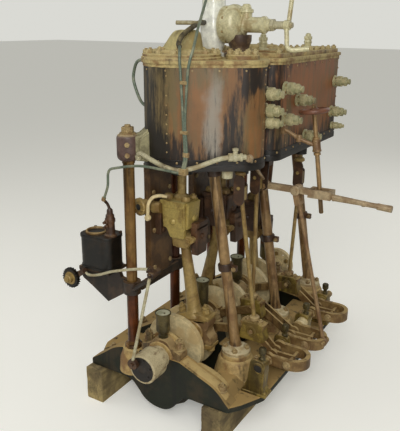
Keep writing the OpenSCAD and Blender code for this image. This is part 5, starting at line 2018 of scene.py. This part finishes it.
@dataclass
class Piping(SubAssembly):
    """Steam pipe, stop valve, cups, cocks and the thin oil pipes."""

    top: float = 1474.0
    pipe: Corner = (22.0, 350.0)
    valve: Point = (137.0, 350.0, 1594.0)

    def build(self) -> None:
        """Builds everything that carries steam, water or oil."""
        self.steam_pipe()
        self.stop_valve()
        self.throttle_lever()
        self.relief_valves()
        self.cocks()
        self.thin_pipes()

    def steam_pipe(self) -> None:
        """Pale steam pipe with its foot, wrapping joints and open flange."""
        x, y = self.pipe
        pipe = Workpiece()
        pipe.turned((x, y, self.top), Axis.Z, ((0, 0), (44, 0), (44, 13), (42, 16), (36, 17),
            (36, 24), (40, 34), (46, 52), (50, 80), (51, 118), (49, 150), (46, 180), (44, 214),
            (44, 266), (46, 271), (68, 271), (70, 273), (70, 284), (68, 286), (33, 286), (31, 284),
            (31, 150), (0, 150)), 48)
        pipe.turned((x + 19, y, self.valve[2]), RIGHT, disc(30, 37), 36)
        for z in (1700, 1728):
            pipe.turned((x, y, z), Axis.Z, ((44, 0), (47, 1), (47, 9), (44, 10)), 48)
        self.place(pipe, "steam_pipe_lagged", "pipe_foil", "steam_pipe", whole=True)
        bolts = Workpiece()
        for step, u, v in around(6, 40, 0.4):
            bolts.nut((x + u, y + v, self.top + 14), UP, 13, 8, step * 31)
        for _, u, v in around(4, 56, 0.5):
            bolts.turned((x + u, y + v, self.top + 285.4), Axis.Z, disc(6.5, 1), 14)
        self.place(bolts, "steam_pipe_bolts", "fastener", "steam_pipe")

    def stop_valve(self) -> None:
        """Round valve body between two bolted flanges, with bonnet and stem."""
        x, y, z = self.valve
        body, nuts, stem = Workpiece(), Workpiece(), Workpiece()
        body.turned((x - 69, y, z), RIGHT, ((0, 0), (58, 0), (66, 3), (69, 8), (69, 20), (66, 24),
            (66, 30), (72, 33), (74, 42), (73, 56), (68, 68), (58, 76), (44, 81), (36, 84),
            (36, 90), (31, 93), (29, 97), (28, 104), (28, 162), (31, 164), (31, 176), (27, 180),
            (22, 182), (22, 196), (18, 199), (0, 199)), 56)
        body.turned((x + 26, y, z + 22), Axis.Z, ((0, 0), (22, 0), (22, 20), (27, 22), (27, 32),
            (20, 35), (17, 44), (12, 52), (0, 53)), 36)
        burnt = Workpiece().turned((x, y, self.top), Axis.Z, ((0, 0), (56, 0), (56, 17), (53, 20),
            (40, 22), (36, 32), (40, 46), (46, 62), (46, 84), (0, 84)), 44)
        self.place(burnt, "stop_valve_neck", "valve_burnt", "stop_valve")
        for step, u, v in around(8, 60, 0.5):
            nuts.nut((x - 62, y + u, z + v), RIGHT, 15, 30, step * 20)
        for step, u, v in around(8, 46, 0.5):
            nuts.nut((x + u, y + v, self.top + 19), UP, 14, 9, step * 17)
        stem.turned((x + 128, y, z), RIGHT, ((0, 0), (14, 0), (14, 50), (10, 54), (10, 86),
            (0, 86)), 24)
        stem.nut((x + 129, y, z), RIGHT, 40, 14, 10)
        self.place(body, "stop_valve_body", "valve_metal", "stop_valve", whole=True)
        self.place(nuts, "stop_valve_nuts", "fastener", "stop_valve")
        self.place(stem, "stop_valve_stem", "pale_pipe", "stop_valve")

    def throttle_lever(self) -> None:
        """Bent steel lever on the valve's stem."""
        piece = Workpiece()
        place = Vector((330, self.valve[1], self.valve[2]))
        ring = Workpiece()
        ring.turned(place - Vector((11, 0, 0)), RIGHT, ((9.2, 0), (17, 0), (17.6, 2), (17.6, 20),
            (17, 22), (9.2, 22), (9.2, 0)), 32)
        piece.join(ring.mesh, Matrix.Identity(4))
        piece.tube([place + Vector(v) for v in ((0, 12, 10), (4, 14, 60), (7, 17, 104),
            (10, 22, 150))], 8.5)
        piece.turned(place + Vector((10, 22, 138)), Axis.Z, ((0, 0), (8, 2), (12, 8), (12.5, 13),
            (9, 20), (4, 23), (0, 24)), 24)
        piece.tube([place + Vector(v) for v in ((0, -6, -12), (3, -6, -44), (8, -10, -76),
            (24, -9, -86), (52, 0, -84), (84, 10, -80))], 8.5)
        self.place(piece, "throttle_bent_lever", "valve_metal", "throttle_lever",
            body="throttle_lever", whole=True)

    def relief_valves(self) -> None:
        """Small relief valves on the right covers."""
        piece = Workpiece()
        for x, y in ((165, 500), (225, 830)):
            piece.turned((x, y, self.top + 17), Axis.Z, ((0, 0), (22, 0), (22, 10), (20, 14),
                (14, 16), (14, 22), (16, 26), (16, 38), (14, 44), (0, 44)), 32)
            piece.nut((x, y, self.top + 60), UP, 33, 14, 12)
            piece.turned((x, y, self.top + 73), Axis.Z, ((0, 0), (11, 0), (12, 3), (12, 8), (8, 13),
                (0, 15)), 28)
            piece.ring((x, y, self.top + 50), UP, 16.5, 2)
        self.place(piece, "relief_valve_bodies", "valve_metal", "relief_valves", whole=True)

    def cocks(self) -> None:
        """Pale cocks that stand out of the casing's right side."""
        piece, keys = Workpiece(), Workpiece()
        spots = [(276, 296, 1352, 1.25), (276, 300, 1290, 1.25), (276, 300, 1245, 1.1)]
        spots += [(296, y, z, 1.2) for y, z in ((436, 1361), (440, 1241), (569, 1304), (672, 1142),
            (1011, 1346), (987, 1209))] + [(296, 1016, 1139, 0.8)]
        for index, (x, y, z, size) in enumerate(spots):
            length = min(size, 1.0)
            shape = ((0, 0), (22, 0), (22, 7), (20, 9), (15, 10), (15, 13), (18, 15), (20, 19),
                (20, 38), (18, 41), (14, 43), (13, 48), (0, 48))
            piece.turned((x, y, z), RIGHT, tuple((r * size, h * length) for r, h in shape), 34)
            piece.nut((x + 46 * length, y, z), RIGHT, 31 * size, 16 * length, index * 13)
            tip = ((0, 0), (13 * size, 0), (12 * size, 4), (8 * size, 6), (8 * size, 10 * length),
                (11 * size, 11 * length), (11 * size, 15 * length), (6 * size, 17 * length),
                (0, 17 * length))
            piece.turned((x + 61 * length, y, z), RIGHT, tip, 26)
            for step, u, v in around(4, 16 * size, 0.5):
                keys.nut((x + 7, y + u, z + v), RIGHT, 9, 5, step * 20)
        self.place(piece, "cock_bodies", "verdigris", "drain_cocks", whole=True)
        self.place(keys, "cock_nuts", "fastener", "drain_cocks")

    def thin_pipes(self) -> None:
        """Smooth thin pipes in front of the casing, and the cream drain pipe."""
        thin, drain, clips = Workpiece(), Workpiece(), Workpiece()
        thin.tube([(76, 24, 1527), (92, 2, 1518), (101, -12, 1500), (102, -14, 1480),
            (106, -14, 1431), (112, -14, 1345), (117, -14, 1263), (124, -16, 1159),
            (118, -24, 1100)], 5)
        thin.tube([(60, 290, 1800), (92, 200, 1724), (112, 140, 1675), (122, 90, 1616),
            (137, 40, 1569), (146, 4, 1520), (143, -14, 1480), (134, -14, 1433), (128, -14, 1349),
            (124, -14, 1263), (132, -16, 1159), (126, -24, 1100)], 5)
        thin.tube([(-235, -40, 942), (-212, -40, 1000), (-204, -40, 1060), (-163, -40, 1079),
            (-55, -40, 1100), (43, -36, 1098), (108, -22, 1090)], 5)
        thin.tube([(-142, 132, 1467), (-190, 140, 1458), (-216, 150, 1420), (-218, 150, 1378),
            (-181, 140, 1311), (-136, 128, 1287)], 6)
        clips.block((108, -34, 1086), (138, -12, 1110), 3)
        clips.nut((123, -34, 1098), FRONT, 14, 6, 5)
        for at, way in (((124, -15, 1150), (0, 0.05, 1)), ((132, -15, 1150), (0, 0, 1)),
                ((-237, -40, 938), (0.3, 0, 1))):
            clips.nut(at, Vector(way), 15, 16)
        for z in (1230, 1400):
            clips.block((106, -21, z), (134, -7, z + 12), 2)
        drain.tube([(-98, 8, 1118), (-90, 0, 1134), (-72, -6, 1138), (-49, -12, 1132),
            (-19, -16, 1122), (32, -18, 1107), (90, -16, 1098), (128, 18, 1102), (152, 46, 1110),
            (178, 74, 1122), (206, 99, 1133), (232, 120, 1137)], 9)
        way = Vector((0.8, 0.6, 0.0))
        start = Vector((226, 116, 1137))
        drain.nut(start, way, 29, 16, 10)
        drain.turned(start + way * 16, way, ((0, 0), (13, 0), (16, 3), (17, 12), (13, 18), (12, 26),
            (15, 28), (15, 36), (10, 38), (10, 50), (0, 50)), 28)
        drain.turned(start + way * 26 + Vector((0, 0, 10)), Axis.Z,
            ((0, 0), (9, 0), (9, 14), (12, 16), (12, 22), (8, 24), (0, 24)), 22)
        drain.turned((196, 168, 1046), Axis.Z, ((0, 0), (20, 0), (21, 3), (21, 40), (0, 40)), 30)
        link = Workpiece().rod((286, 170, 1129), (222, 432, 990), 6.5, bevel=1, sides=18)
        link.turned((286, 160, 1131), Axis.Y, boss(14, 14), 24)
        link.nut((286, 160, 1131), FRONT, 15, 6, 8)
        link.rod((286, 166, 1131), (278, 158, 1135), 8, sides=16)
        self.place(link, "cock_link", "lever_steel", "drain_pipe")
        drain.nut((-99, 10, 1114), Vector((0.4, -0.4, 1)), 25, 14, 10)
        hose = Workpiece().tube([(84, 14, 1522), (70, 30, 1532), (62, 56, 1551), (66, 80, 1568),
            (72, 112, 1584), (58, 174, 1597), (30, 240, 1602), (9, 306, 1601)], 9)
        drain.tube([(-76, 238, 1600), (-44, 242, 1600), (-17, 252, 1600), (4, 306, 1598)], 8)
        self.place(hose, "dark_hose", "hose_rubber", "oil_pipes")
        self.place(thin, "thin_oil_pipes", "thin_pipe", "oil_pipes", whole=True)
        self.place(drain, "cream_drain_pipe", "pale_pipe", "drain_pipe", whole=True)
        self.place(clips, "pipe_clips", "fastener", "oil_pipes")


@dataclass
class ValveGear(SubAssembly):
    """Eccentric rods, brass blocks, valve rods, reversing shaft and its lever."""

    shaft: tuple[float, float] = (378.0, 303.0)
    forks: tuple[float, float, float] = (275.0, 465.0, 752.0)
    stems: tuple[float, float, float] = (265.0, 414.0, 733.0)
    wheel: Point = (411.0, 465.0, 1279.0)
    wheel_lean: float = -8.2

    def build(self) -> None:
        """Softens the gear's CAD pieces and adds the fine forms."""
        for index in range(3):
            soften(f"eccentric_rod_{index + 1}", self.palette["gear_iron"], 2.5)
        soften("valve_rods", self.palette["rod_steel"], 2.5)
        self.swing_links()
        soften("reversing_shaft", self.palette["gear_iron"], 3.5)
        soften("drag_rod", self.palette["link_rust"], 2.5)
        soften("reversing_lever", self.palette["lever_steel"], 3.0)
        self.lever_knuckles()
        soften("lever_bracket", self.palette["dark_iron"], 3.0)
        self.blocks()
        self.forks_and_bearings()
        self.handwheel()

    def lever_knuckles(self) -> None:
        """Round grip, collars and pin heads on the reversing lever."""
        piece = Workpiece()
        grip, end = Vector((512, 465, 941)), Vector((745, 465, 939))
        way = (end - grip).normalized()
        length = (end - grip).length
        piece.turned(grip, way, ((0, 0), (10, 0), (10, 6), (9, 8), (9, length * 0.5),
            (12, length * 0.5 + 2), (12, length * 0.5 + 12), (10, length * 0.5 + 14),
            (11, length - 4), (9, length), (0, length)), 26)
        for side in (-1, 1):
            piece.turned((359, 465 + side * 16, 955), Vector((0, side, 0)),
                ((0, 0), (19, 0), (20, 2), (20, 8), (17, 11), (0, 11)), 30)
            piece.nut((359, 465 + side * 27, 955), Vector((0, side, 0)), 22, 8, 20, stud=4)
        self.place(piece, "lever_knuckle", "lever_steel", "reversing_lever", body="reversing_lever")

    def swing_links(self) -> None:
        """Dark oval links on both sides of the valve rods' heads."""
        links, pins = Workpiece(), Workpiece()
        for index, (x, z) in enumerate(((208, 958), (204, 968), (262, 930))):
            y = self.stems[index]
            for side in (-1, 1):
                wide, top = (23, 62) if side < 0 else (16, 34)
                outline = [(x + u, z + (top if v > 0 else -16) + v)
                    for _, u, v in around(28, wide, 0.5)]
                low = y + side * 21
                links.plate(outline, low - 3.5, low + 3.5, bevel=2)
                pins.nut((x, y + side * 24.5, z + 32), Vector((0, side, 0)), 14, 5, 20)
            pins.turned((x, y - 10, z + 84), Axis.Z, ((0, 0), (20, 0), (23, 3), (23, 11), (18, 16),
                (0, 17)), 30)
        self.place(links, "swing_links", "dark_iron", "valve_rods")
        self.place(pins, "swing_pins", "rod_steel", "valve_rods")

    def blocks(self) -> None:
        """Brass blocks at the eccentric rods' ends, with nuts and dimples."""
        brass, nuts = Workpiece(), Workpiece()
        for index, (x, z) in enumerate(((286, 388), (204, 408), (240, 408))):
            y = self.stems[index]
            low, high = y - 25, y + 25
            shape = curve(((-43, 37), (0, 40), (43, 37), (50, 0), (57, -38), (0, -41), (-57, -38),
                (-50, 0), (-43, 37)), 3)[:-1]
            brass.plate([(x + u, z + v) for u, v in shape], low, high, bevel=4)
            brass.turned((x, low, z + 2), FRONT, ((0, 0), (24, 0), (23, 3), (17, 5), (14, 3),
                (0, 2)), 30)
            for side, turn in ((-1, 10), (1, 30)):
                nuts.nut((x + side * 30, y, z + 37), UP, 20, 12, turn, stud=5)
            nuts.nut((x, low - 3, z + 2), FRONT, 17, 6, 20)
            nuts.turned((x, y, z + 46), Axis.Z, ((0, 0), (20, 0), (21, 3), (21, 14), (17, 18),
                (12, 20), (0, 20)), 28)
        self.place(brass, "gear_blocks", "gear_brass", "eccentric_rod_1")
        self.place(nuts, "gear_block_nuts", "fastener", "eccentric_rod_1")

    def forks_and_bearings(self) -> None:
        """Bolts, oilers and dark discs of painted shade in the bores of the shaft's bearings, and
        nuts on its guides.
        """
        x, z = self.shaft
        bolts, oilers, blocks, holes = Workpiece(), Workpiece(), Workpiece(), Workpiece()
        for y, half in ((150, 24), (372, 15), (610, 24), (862, 24)):
            outline = [(-70, 182), (34, 182), (36, 190), (34, 198), (26, 202), (25, 212), (21, 218),
                (26, 300), (22, 326), (12, 336), (-22, 340), (-38, 330), (-42, 300), (-50, 240),
                (-58, 222), (-60, 204), (-70, 198)]
            blocks.plate([(x + u, v) for u, v in outline], y - half, y + half, bevel=5)
            blocks.plate([(x - 74, 181), (x + 38, 181), (x + 38, 192), (x - 74, 192)], y - half - 6,
                y + half + 6, bevel=3)
            blocks.turned((x - 2, y - half + 1, z + 2), FRONT, ((0, 0), (25, 0), (25, 4), (22, 6),
                (17, 6), (17, 0)), 32)
            # Dark disc in each bearing's bore: painted shade in place of the hole's depth
            holes.turned((x - 2, y - half - 1, z + 2), FRONT, disc(17, 1), 24)
            bolts.nut((x - 62, y, 199), UP, 21, 12, 8, stud=5)
            bolts.nut((x - 18, y - half * 0.4, 337), UP, 17, 10, 8, stud=5)
            oilers.turned((x + 4, y, 334), Axis.Z, ((0, 0), (13, 0), (13, 8), (9, 12), (9, 24),
                (14, 28), (15, 32), (15, 50), (12, 54), (0, 54)), 26)
        self.place(blocks, "shaft_bearing_blocks", "gear_brass", "shaft_bearings", whole=True)
        self.place(holes, "shaft_bearing_holes_painted_shade", "painted_hole_shade", "shaft_bearings")
        self.place(bolts, "shaft_bearing_bolts", "fastener", "shaft_bearings")
        self.place(oilers, "shaft_oilers", "cup_bronze", "shaft_bearings")
        nuts = Workpiece()
        for y in self.forks:
            for side in (-1, 1):
                nuts.nut((x, y + side * 66, z), Vector((0, side, 0)), 42, 9, 12)
                nuts.turned((x + 83, y + side * 65, z), Vector((0, side, 0)),
                    ((0, 0), (17, 0), (16, 4), (11, 7), (0, 7)), 24)
                nuts.nut((x + 83, y + side * 71, z), Vector((0, side, 0)), 18, 7, 30)
                for dx in (30, 58):
                    nuts.turned((x + dx, y + side * 56, z + 22), Axis.Z,
                        ((0, 0), (6, 0), (5, 3), (0, 4)), 14)
        sleeve = Workpiece().turned((x, 546, z), Axis.Y, ((0, 0), (22, 0), (25, 3), (25, 88),
            (22, 91), (0, 91)), 36)
        self.place(sleeve, "reversing_shaft_sleeve", "crank_steel", "reversing_shaft",
            body="reversing_shaft")
        nuts.turned((x + 143, self.forks[1] - 28, z), FRONT, ((0, 0), (14, 0), (13, 4), (8, 6),
            (0, 6)), 22)
        self.place(nuts, "reversing_shaft_nuts", "fastener", "reversing_shaft",
            body="reversing_shaft")
        caps = Workpiece()
        for side in (-1, 1):
            caps.nut((216, 465 + side * 24, 955), Vector((0, side, 0)), 26, 7, 15)
        for x_at, z_at in ((204, 1060), (232, 1060)):
            caps.nut((x_at, 450, z_at), FRONT, 17, 8, 12)
        self.place(caps, "lever_bracket_bolts", "fastener", "lever_bracket")

    def handwheel(self) -> None:
        """Turned rim, hub and spokes on the long slanted spindle."""
        lean = Matrix.Rotation(math.radians(self.wheel_lean), 4, "Y")
        tilt = Matrix.Translation(self.wheel) @ lean
        rim, spindle, stay = Workpiece(), Workpiece(), Workpiece()
        wheel = Workpiece().ring((0, 0, 0), UP, 50, 9.6, 56)
        wheel.turned((0, 0, -11), Axis.Z, ((0, 0), (13, 0), (16, 3), (16, 19), (13, 22), (0, 22)),
            28)
        for _, u, v in around(4, 1.0):
            wheel.rod((10 * u, 10 * v, 0), (48 * u, 48 * v, 0), 6.4, 4.6, bevel=0.0, sides=16)
        rim.join(wheel.mesh, tilt)
        bar = Workpiece().turned((0, 0, -410), Axis.Z, ((0, 0), (7, 0), (9, 4), (9, 236), (14, 238),
            (14, 246), (9, 248), (9, 296), (14, 298), (14, 306), (9, 308), (9, 400), (0, 400)), 28)
        bar.nut((0, 0, 10), UP, 18, 9, 10, stud=5)
        spindle.join(bar.mesh, tilt)
        self.place(rim, "handwheel_rim", "wheel_red", "handwheel", body="handwheel", whole=True)
        self.place(spindle, "handwheel_spindle", "column_pink", "handwheel", body="handwheel")
        sleeve = Workpiece().turned((0, 0, -160), Axis.Z, ((9.2, 0), (16, 0), (17.6, 2), (17.6, 8),
            (16, 10), (16, 38), (17.6, 40), (17.6, 47), (16, 49), (9.2, 49), (9.2, 0)), 32)
        stay.join(sleeve.mesh, tilt)
        stay.tube([(297, 445, 1202), (330, 449, 1184), (361, 452, 1168), (392, 458, 1156),
            (420, 463, 1147)], 8)
        stay.turned((361, 452, 1155), Axis.Z, ((0, 0), (11, 0), (12, 3), (12, 22), (9, 27),
            (0, 28)), 24)
        stay.turned((294, 446, 1200), RIGHT, ((0, 0), (22, 0), (22, 7), (18, 10), (10, 12),
            (0, 12)), 28)
        for angle in (45, 165, 285):
            u, v = polar(angle, 15)
            stay.nut((303, 446 + u, 1200 + v), RIGHT, 9, 5, angle)
        self.place(stay, "spindle_stay_arm", "link_rust", "spindle_stay", whole=True)


@dataclass
class Lubricator(SubAssembly):
    """Oily lubricator on the front columns, with its ratchet drive."""

    ratchet: Point = (-402.0, -70.0, 586.0)
    teeth: int = 22
    filling: Corner = (-312.0, -2.0)

    def build(self) -> None:
        """Builds bracket, tank, ratchet wheel and drive."""
        soften("lubricator_bracket", self.palette["bracket_brown"], 3.0)
        self.tank()
        self.wheel()
        self.drive()

    def tank(self) -> None:
        """Square tank with a rim, a filling ring with a dark disc of painted shade inside it, bolts
        and the pump.
        """
        body, metal = Workpiece(), Workpiece()
        body.plate(rounded((-365, -60), (-210, 55), 36), 645, 777, Axis.Z, bevel=4)
        for low, high in ((772, 786), (642, 654)):
            body.plate(rounded((-368, -63), (-207, 58), 38), low, high, Axis.Z, bevel=3)
        ring = Workpiece().turned((*self.filling, 780), Axis.Z, ((34, 0), (45, 0), (45, 12),
            (42, 15), (38, 15), (35, 11), (34, 0)), 40)
        # Dark disc in the filling ring: painted shade in place of the tank's open inside
        hole = Workpiece().turned((*self.filling, 786), Axis.Z, disc(36, 1.4), 40)
        self.place(ring, "tank_filling_ring", "gear_iron", "lubricator_tank")
        self.place(hole, "tank_filling_painted_shade", "painted_hole_shade", "lubricator_tank")
        metal.turned((-232, -10, 784), Axis.Z, ((0, 0), (27, 0), (27, 7), (21, 10), (19, 14),
            (18, 58), (21, 62), (21, 74), (18, 78), (17, 90), (13, 94), (12, 110), (7, 117),
            (0, 119)), 32)
        metal.tube([(-232, -10, 896), (-236, -16, 918), (-237, -30, 934), (-235, -42, 944)], 6)
        for z in (830, 850):
            metal.turned((-232, -30, z), FRONT, ((0, 0), (9, 0), (9, 8), (6, 10), (6, 20), (0, 20)),
                18)
        for x, y in ((-352, 38), (-224, 42)):
            metal.nut((x, y, 786), UP, 13, 6, y)
        self.place(body, "tank_shell", "oily_black", "lubricator_tank", whole=True)
        self.place(metal, "tank_pump", "dark_iron", "lubricator_tank")

    def wheel(self) -> None:
        """Ratchet wheel with raked teeth and a hub nut."""
        x, y, z = self.ratchet
        outline = []
        for step in range(self.teeth):
            for share, radius in ((step, 44), (step + 0.86, 37)):
                a = -math.tau * share / self.teeth
                outline.append((x + radius * math.cos(a), z + radius * math.sin(a)))
        piece = Workpiece()
        part = Workpiece().plate(outline, y - 8, y + 8, bevel=0)
        piece.join(part.mesh, Matrix.Identity(4))
        hub = Workpiece().turned((x, y - 7, z), FRONT, ((0, 0), (28, 0), (27, 3), (19, 4), (18, 16),
            (15, 19), (0, 19)), 32)
        hub.nut((x, y - 25, z), FRONT, 22, 9, 15)
        self.place(hub, "ratchet_hub", "rod_steel", "ratchet_wheel", body="ratchet_wheel")
        self.place(piece, "ratchet_teeth", "oily_black", "ratchet_wheel", body="ratchet_wheel",
            whole=True)

    def drive(self) -> None:
        """Bell crank, link and rod that work the ratchet."""
        rods, joints = Workpiece(), Workpiece()
        rods.tube([(8, -72, 717), (-60, -72, 702), (-130, -72, 681), (-191, -72, 660),
            (-250, -72, 634), (-300, -72, 622), (-328, -72, 632)], 5.5)
        rods.rod((13, -84, 694), (-34, -143, 350), 6.2, bevel=0)
        joints.turned((14, -88, 695), Axis.Y, ((0, 0), (12, 0), (14, 2), (14, 34), (0, 34)), 26)
        joints.plate([(4, 690), (24, 690), (18, 722), (12, 728), (2, 726), (0, 718)], -79, -65,
            bevel=3)
        joints.turned((8, -80, 719), Axis.Y, boss(10, 15), 22)
        joints.turned((-36, -148, 331), Axis.Y, ((8.3, 0), (21, 0), (22, 2), (22, 17), (20, 19),
            (8.3, 19), (8.3, 0)), 30)
        joints.turned((-328, -80, 632), Axis.Y, boss(11, 15), 22)
        joints.plate([(-338, 638), (-328, 646), (-316, 634), (-346, 606), (-356, 612)], -79, -65,
            bevel=3)
        for at in ((14, -88, 695), (8, -80, 719), (-328, -80, 632), (-36, -148, 331)):
            joints.nut(at, FRONT, 14, 6, at[0])
        self.place(rods, "drive_rods", "pale_pipe", "pump_drive", whole=True)
        self.place(joints, "drive_joints", "dark_iron", "pump_drive")


def main() -> None:
    """Builds the engine's looks, piece by piece."""
    logging.basicConfig(level=logging.INFO, format="%(message)s")
    Studio().build()
    palette = Palette()
    crank = Crank(palette)
    for part in (Timbers(palette), Bed(palette), MainBearings(palette), crank,
            Crossheads(palette, crank), Columns(palette), Cylinders(palette), Piping(palette),
            ValveGear(palette), Lubricator(palette)):
        LOG.info("-- %s", type(part).__name__)
        part.build()


if __name__ == "__main__":
    main()
